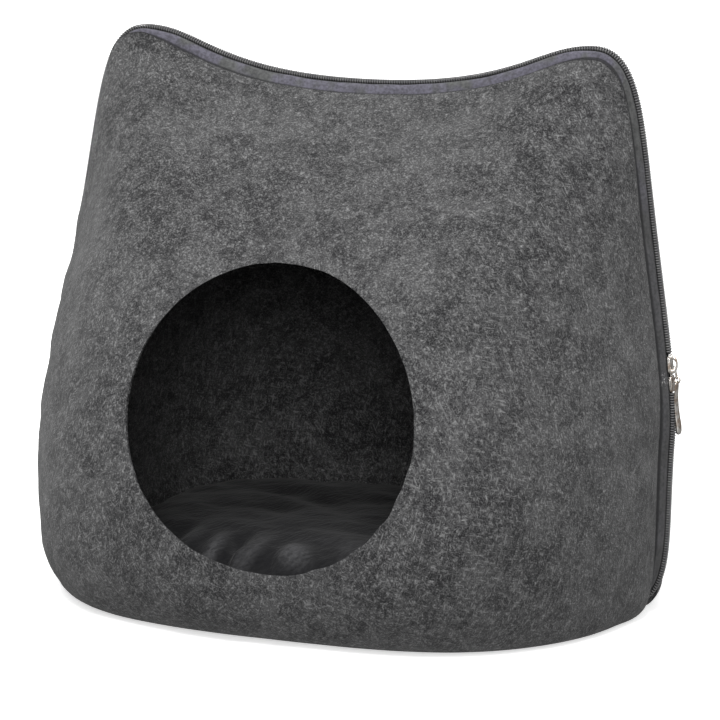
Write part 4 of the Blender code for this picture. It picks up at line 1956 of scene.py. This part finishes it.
@dataclass
class Pull:
    """Link, ring and tab that hang from the upper slider."""

    place: Matrix
    wire: float = 0.00042
    wire_steps: int = 48
    link_top: Pair = (0.0045, 0.0047)
    link_end: Pair = (0.0055, -0.0025)
    link_half_width: float = 0.0015
    ring_centre: Pair = (0.0055, -0.0030)
    ring_radius: float = 0.00178
    eye: float = 0.00082
    eye_depth: float = 0.01
    eye_sides: int = 24
    tab_lean: float = math.radians(3.6)
    turn: float = math.radians(-15)
    # Depth below the sliders, half width, inner face and outer face.
    sections: tuple[tuple[float, float, float, float], ...] = (
        (-0.0033, 0.0005, 0.0051, 0.0059),
        (-0.0036, 0.0011, 0.0051, 0.0059),
        (-0.0041, 0.0016, 0.0051, 0.0059),
        (-0.0050, 0.0019, 0.0050, 0.0059),
        (-0.0075, 0.0021, 0.0046, 0.0056),
        (-0.0130, 0.0023, 0.0042, 0.0051),
        (-0.0190, 0.0025, 0.0043, 0.0053),
        (-0.0250, 0.0026, 0.0046, 0.0061),
        (-0.0295, 0.0027, 0.0048, 0.0069),
        (-0.0330, 0.0026, 0.0049, 0.0070),
        (-0.0341, 0.0020, 0.0052, 0.0068),
        (-0.0346, 0.0011, 0.0054, 0.0066),
    )
    rings: int = 44
    around: int = 20
    tab_power: float = 0.45
    rounding: float = 0.00012
    sharp: float = 45.0

    def _loop(self, name: str, half: Pair, place: Matrix) -> bpy.types.Object:
        """Make a closed wire loop with round ends.

        Args:
            name: The piece's name.
            half: Half its width and half its length, at the wire's middle.
            place: Where the loop goes.

        Returns:
            The piece.
        """
        half_width, half_length = half
        curve = bpy.data.curves.new(name, "CURVE")
        curve.dimensions = "3D"
        curve.bevel_depth = self.wire
        curve.bevel_resolution = 4
        spline = curve.splines.new("POLY")
        spline.use_cyclic_u = True
        spline.points.add(self.wire_steps - 1)
        straight = half_length - half_width
        for i, point in enumerate(spline.points):
            angle = 2 * math.pi * (i + 0.5) / self.wire_steps
            y, z = half_width * math.cos(angle), half_width * math.sin(angle)
            point.co = (0.0, y, z + math.copysign(straight, z), 1.0)
        line = linked(name + "_line", curve)
        mesh = evaluated(line)
        bpy.data.objects.remove(line)
        mesh.transform(place)
        return linked(name, mesh)

    def _tab(self) -> bpy.types.Object:
        """Make the long narrow tab with its eye and thicker lower end.

        Returns:
            The piece.
        """
        rows = np.array(self.sections)
        reach = lengths_of(rows[:, [0, 1]])
        goals = np.linspace(0.0, reach[-1], self.rings)
        z, *measures = (np.interp(goals, reach, column) for column in rows.T)
        width, low, high = (evened(measure, 2) for measure in measures)
        bm = bmesh.new()
        loops = []
        for k in range(self.rings):
            loop = []
            for n in range(self.around):
                c, s = squared(2 * math.pi * n / self.around, self.tab_power)
                x = blend(low[k], high[k], 0.5 + 0.5 * s)
                loop.append(bm.verts.new((x, c * width[k], z[k])))
            loops.append(loop)
        add_skin(bm, loops)
        bmesh.ops.recalc_face_normals(bm, faces=bm.faces)
        piece = from_bmesh("pull_tab_shaped", bm)
        self._cut_eye(piece)
        pivot = Matrix.Translation((self.ring_centre[0], 0, self.ring_centre[1]))
        lean = Matrix.Rotation(self.tab_lean, 4, "Y") @ Matrix.Rotation(self.turn, 4, "Z")
        piece.data.transform(self.place @ pivot @ lean @ pivot.inverted())
        round_edges(piece, self.rounding, 2, self.sharp)
        return piece

    def _cut_eye(self, piece: bpy.types.Object) -> None:
        """Cut the eye that the ring goes through.

        Args:
            piece: The tab, before it leans.
        """
        bm = bmesh.new()
        bmesh.ops.create_cone(
            bm, cap_ends=True, segments=self.eye_sides,
            radius1=self.eye, radius2=self.eye, depth=self.eye_depth,
        )
        x, z = self.ring_centre
        middle = Matrix.Translation((x, 0, z - self.ring_radius))
        cutter = from_bmesh("eye_cutter", bm, middle @ Matrix.Rotation(math.radians(90), 4, "Y"))
        cut = piece.modifiers.new("eye", "BOOLEAN")
        cut.operation = "DIFFERENCE"
        cut.object = cutter
        apply_modifiers(piece)
        bpy.data.objects.remove(cutter)

    def build(self) -> list[bpy.types.Object]:
        """Make the three pieces in their places.

        Returns:
            Link, ring and tab.
        """
        (top_x, top_z), (end_x, end_z) = self.link_top, self.link_end
        middle = Matrix.Translation(((top_x + end_x) / 2, 0, (top_z + end_z) / 2))
        swing = Matrix.Rotation(math.atan2(top_x - end_x, top_z - end_z), 4, "Y")
        link_half = (self.link_half_width, math.dist(self.link_top, self.link_end) / 2)
        centre = Matrix.Translation((self.ring_centre[0], 0, self.ring_centre[1]))
        turned = Matrix.Rotation(math.radians(90) + self.turn, 4, "Z")
        ring_half = (self.ring_radius, self.ring_radius)
        return [
            self._loop("link_wire", link_half, self.place @ middle @ swing),
            self._loop("ring_wire", ring_half, self.place @ centre @ turned),
            self._tab(),
        ]

    def dress(self, pieces: Sequence[bpy.types.Object]) -> None:
        """Finish and place the pull.

        Args:
            pieces: What build made.
        """
        for piece, node in zip(pieces, ("pull_link", "pull_ring", "pull_tab")):
            Finish.METAL.dress(piece)
            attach(piece, BODY)
            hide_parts(node)


@dataclass
class Hardware:
    """The sliders and the pull, where the sliders meet on the right side."""

    outline: CaveOutline
    meet: float = 0.1403
    upper_length: float = 0.0118
    lower_length: float = 0.0096
    seat: float = -0.0013
    pull_seat: float = -0.0002

    @property
    def place(self) -> Matrix:
        """Find where the sliders meet.

        Returns:
            The frame there: X out of the seam, Z up along it.
        """
        seam = self.outline.seam
        side = seam[seam[:, 0] > self.outline.ear_offset][::-1]
        levels = (self.meet - self.lower_length, self.meet, self.meet + self.upper_length)
        low, middle, high = (float(np.interp(z, side[:, 1], side[:, 0])) for z in levels)
        lean = math.atan2(high - low, self.lower_length + self.upper_length)
        origin = Matrix.Translation((middle + self.seat, 0.0, self.meet))
        return origin @ Matrix.Rotation(lean, 4, "Y")

    def build(self) -> list[bpy.types.Object]:
        """Build and dress the sliders and the pull.

        Returns:
            The five pieces.
        """
        sliders = (
            Slider("upper_slider", "slider_upper", self.place, self.upper_length, 1, True),
            Slider("lower_slider", "slider_lower", self.place, self.lower_length, -1, False),
        )
        pieces = [slider.build() for slider in sliders]
        for slider, piece in zip(sliders, pieces):
            slider.dress(piece)
        pull = Pull(Matrix.Translation((self.pull_seat, 0.0, 0.0)) @ self.place)
        pull_pieces = pull.build()
        pull.dress(pull_pieces)
        return pieces + pull_pieces


# --------------------------------------------------------------- the cushion

@dataclass
class Cushion:
    """The filled plush pad on the floor of the cave."""

    half_width: float = 0.149
    half_depth: float = 0.120
    floor: float = 0.0047
    height: float = 0.030
    # Its outline's squareness, its rim's roundness and its crown's.
    squareness: float = 3.0
    rim_power: float = 0.45
    crown_power: float = 0.8
    # Share of the height that its edge has. The ball that it starts from is
    # flat below a level, and a little narrower there.
    edge: float = 0.45
    under_level: float = -0.2
    under_share: float = 0.93
    meridians: int = 64
    parallels: int = 28
    voxel: float = 0.005
    # How Blender's cloth fills it, and how far a point may move.
    pressure: float = 4.0
    frames: int = 20
    cap: float = 0.007
    # Where the top begins over the floor, and the height it grows over.
    top: Pair = (0.006, 0.012)
    swell: Unevenness = Unevenness(31, 0.025, 0.060, 0.0006)
    nap: Unevenness = Unevenness(33, 0.006, 0.012, 0.0001, waves=40)
    # Painted light: where crests begin to show paler, to the front and in height, and the
    # length that they grow over.
    crest_front: Pair = (0.060, 0.030)
    crest_height: Pair = (-0.0018, 0.0030)
    # Soft troughs: gathers behind the front edge, and two across the middle.
    creases: tuple[Fold, ...] = (
        Fold((-0.088, -0.132), (-0.078, -0.040), 0.0055, 0.0045),
        Fold((-0.068, -0.134), (-0.062, -0.062), 0.0050, 0.0040),
        Fold((-0.049, -0.136), (-0.040, -0.058), 0.0052, 0.0060),
        Fold((-0.020, -0.138), (-0.018, -0.060), 0.0060, 0.0040),
        Fold((0.022, -0.138), (0.006, -0.064), 0.0080, 0.0024),
        Fold((0.060, -0.136), (0.054, -0.070), 0.0075, 0.0026),
        Fold((0.088, -0.132), (0.070, -0.064), 0.0070, 0.0022),
        Fold((-0.100, 0.050), (0.010, 0.010), 0.0130, 0.0030),
        Fold((0.020, -0.020), (0.110, 0.050), 0.0140, 0.0030),
    )
    fill: float = 0.6

    def _form(self) -> bpy.types.Object:
        """Make the pad before it is filled: crowned, with a flat underside.

        Returns:
            The piece.
        """
        bm = bmesh.new()
        bmesh.ops.create_uvsphere(
            bm, u_segments=self.meridians, v_segments=self.parallels, radius=1.0,
        )
        power = self.squareness
        for vertex in bm.verts:
            x, y, z = vertex.co
            reach = math.hypot(x, y)
            if reach > 1e-6:
                square = abs(x / reach) ** power + abs(y / reach) ** power
                grow = square ** (-1 / power) * reach ** self.rim_power / reach
                x, y = x * grow, y * grow
            rise, share = 0.0, self.under_share
            if z > self.under_level:
                rise = max(z, 0.0) ** self.crown_power * (1 - self.edge) + self.edge
                share = 1.0
            vertex.co = (
                x * self.half_width * share,
                y * self.half_depth * share,
                self.floor + self.height * rise,
            )
        return from_bmesh("cushion_pad", bm)

    def _fill(self, piece: bpy.types.Object) -> None:
        """Blow the pad up as cloth, with a cap on how far its points move.

        Args:
            piece: The pad, in even faces.
        """
        scene = bpy.context.scene
        start = points_of(piece.data)
        cloth = piece.modifiers.new("fill", "CLOTH")
        cloth.settings.quality = 5
        cloth.settings.mass = 0.25
        cloth.settings.tension_stiffness = 18.0
        cloth.settings.compression_stiffness = 12.0
        cloth.settings.bending_stiffness = 1.2
        cloth.settings.use_pressure = True
        cloth.settings.uniform_pressure_force = self.pressure
        cloth.settings.effector_weights.gravity = 0.0
        cloth.point_cache.frame_start = 1
        cloth.point_cache.frame_end = self.frames
        for number in range(1, self.frames + 1):
            scene.frame_set(number)
        graph = bpy.context.evaluated_depsgraph_get()
        moved = points_of(piece.evaluated_get(graph).to_mesh()) - start
        piece.modifiers.clear()
        scene.frame_set(1)
        size = np.linalg.norm(moved, axis=1, keepdims=True)
        moved *= np.minimum(1.0, self.cap / np.maximum(size, 1e-9))
        self._rest(piece, start + moved)

    def _rest(self, piece: bpy.types.Object, points: Points) -> None:
        """Move the pad's points, and keep them on the felt under it."""
        points[:, 2] = np.maximum(points[:, 2], self.floor)
        set_points(piece.data, points)

    def _crease(self, piece: bpy.types.Object) -> None:
        """Press in the creases and the pile's unevenness, flat underneath.

        Args:
            piece: The pad.
        """
        points, normals = points_of(piece.data), normals_of(piece.data)
        x, y, z = points.T
        top = smooth((z - self.floor - self.top[0]) / self.top[1])
        lift = self.swell.at(points)
        for crease in self.creases:
            lift -= crease.at(x, y)
        # Painted light: raised lumps towards the front show paler.
        in_front = smooth((-y - self.crest_front[0]) / self.crest_front[1])
        lit_crest = smooth((lift - self.crest_height[0]) / self.crest_height[1])
        carry(piece, "lit_crest", lit_crest * in_front * top)
        lift += self.nap.at(points)
        self._rest(piece, points + normals * (lift * top)[:, None])

    def build(self) -> bpy.types.Object:
        """Make the pad.

        Returns:
            The piece.
        """
        piece = self._form()
        remesh = piece.modifiers.new("even", "REMESH")
        remesh.mode = "VOXEL"
        remesh.voxel_size = self.voxel
        apply_modifiers(piece)
        self._fill(piece)
        finer = piece.modifiers.new("finer", "SUBSURF")
        finer.levels = 1
        finer.render_levels = 1
        apply_modifiers(piece)
        self._crease(piece)
        return piece

    def dress(self, piece: bpy.types.Object) -> None:
        """Finish, declare and place the pad.

        Args:
            piece: What build made.
        """
        Finish.PLUSH.dress(piece)
        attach(piece, BODY)
        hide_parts("cushion")


# ---------------------------------------------------------------- the studio

@dataclass(frozen=True)
class Lamp:
    """A large soft lamp far away, in a direction from the object."""

    name: str
    direction: Triple
    spread: float
    power: float

    def build(self) -> None:
        """Make the lamp."""
        data = bpy.data.lights.new(self.name, "SUN")
        data.angle = self.spread
        data.energy = self.power
        lamp = linked(self.name, data)
        lamp.location = self.direction
        lamp.rotation_mode = "QUATERNION"
        lamp.rotation_quaternion = Vector(self.direction).to_track_quat("Z", "Y")


@dataclass(frozen=True)
class Studio:
    """Camera, pale floor, white surroundings and soft lamps."""

    azimuth: float = math.radians(18.1322)
    elevation: float = math.radians(10.4942)
    roll: float = math.radians(1.3731)
    distance: float = 1.8
    target: Triple = (0.0011, 0.0, 0.1342)
    lens: float = 152.59
    sensor: float = 36.0
    far_end: float = 100.0
    floor_size: float = 60.0
    # Strength of the surroundings, the side they are brightest on, and the
    # band of directions that they fade over, as cosines.
    sky: Pair = (0.30, 1.05)
    sky_towards: Triple = (0.00, -0.40, 0.90)
    sky_band: Pair = (-0.6, 1.0)
    lamps: tuple[Lamp, ...] = (
        Lamp("key", (-0.04, -0.98, 2.00), math.radians(28), 2.35),
        Lamp("front", (0.30, -0.93, 0.32), math.radians(18), 0.95),
    )

    def _camera(self) -> None:
        """Put the camera where the photograph was taken from."""
        level = math.cos(self.elevation)
        back = Vector((
            math.sin(self.azimuth) * level,
            -math.cos(self.azimuth) * level,
            math.sin(self.elevation),
        ))
        right = (-back).cross(Vector((0, 0, 1))).normalized()
        above = right.cross(-back)
        cos, sin = math.cos(self.roll), math.sin(self.roll)
        turned = right * cos + above * sin
        upright = above * cos - right * sin
        data = bpy.data.cameras.new("camera")
        data.lens = self.lens
        data.sensor_width = self.sensor
        data.clip_end = self.far_end
        camera = linked("camera", data)
        matrix = Matrix((turned, upright, back)).transposed().to_4x4()
        matrix.translation = Vector(self.target) + back * self.distance
        camera.matrix_world = matrix
        bpy.context.scene.camera = camera

    def _floor(self) -> None:
        """Lay the floor."""
        bm = bmesh.new()
        bmesh.ops.create_grid(bm, x_segments=1, y_segments=1, size=self.floor_size / 2)
        floor = from_bmesh("floor", bm)
        floor.data.materials.append(PaleFloor().material())
        floor.visible_diffuse = False
        floor.visible_glossy = False
        floor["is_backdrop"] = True

    def _surroundings(self) -> None:
        """Light the room from above and the front, and dimly from elsewhere."""
        graph = Graph(bpy.data.worlds.new("studio"))
        towards = tuple(Vector(self.sky_towards).normalized())
        direction = graph.node("ShaderNodeTexCoord", output="Generated")
        facing = graph.node(
            "ShaderNodeVectorMath", {"operation": "DOT_PRODUCT"}, {0: direction, 1: towards},
            output="Value",
        )
        low, high = self.sky
        light = graph.node(
            "ShaderNodeBackground",
            inputs={
                "Color": (1.0, 1.0, 1.0, 1.0),
                "Strength": low + (high - low) * facing.between(*self.sky_band),
            },
        )
        graph.add("ShaderNodeOutputWorld", inputs={"Surface": light})
        bpy.context.scene.world = graph.owner
        bpy.context.scene.view_settings.view_transform = "Standard"

    def build(self) -> None:
        """Make everything that isn't part of the object."""
        self._camera()
        self._floor()
        self._surroundings()
        for lamp in self.lamps:
            lamp.build()


# ---------------------------------------------------------------------- main

def write_sizes() -> None:
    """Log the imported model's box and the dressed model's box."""
    sizes = {
        name: [[round(number, 6) for number in corner] for corner in box]
        for name, box in (("cad", CAD_BOX), ("visual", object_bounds()))
    }
    LOG.info("boxes: %s", sizes)


def report(*pieces: bpy.types.Object) -> None:
    """Log the name and the number of points of some pieces."""
    for piece in pieces:
        LOG.info("%s: %d points", piece.name, len(piece.data.vertices))


def main() -> None:
    """Build every piece, dress it and report it."""
    logging.basicConfig(level=logging.INFO, format="%(message)s")
    outline = CaveOutline()
    Studio().build()

    felt = FeltPouch(outline)
    felt.dress(piece := felt.build())
    report(piece)
    for side in (-1, 1):
        tape = ZipTape(outline, side)
        tape.dress(piece := tape.build())
        report(piece)
    coil = ZipCoil(outline)
    coil.dress(pieces := coil.build())
    report(*pieces, *Hardware(outline).build())
    cushion = Cushion()
    cushion.dress(piece := cushion.build())
    report(piece)
    write_sizes()


if __name__ == "__main__":
    main()
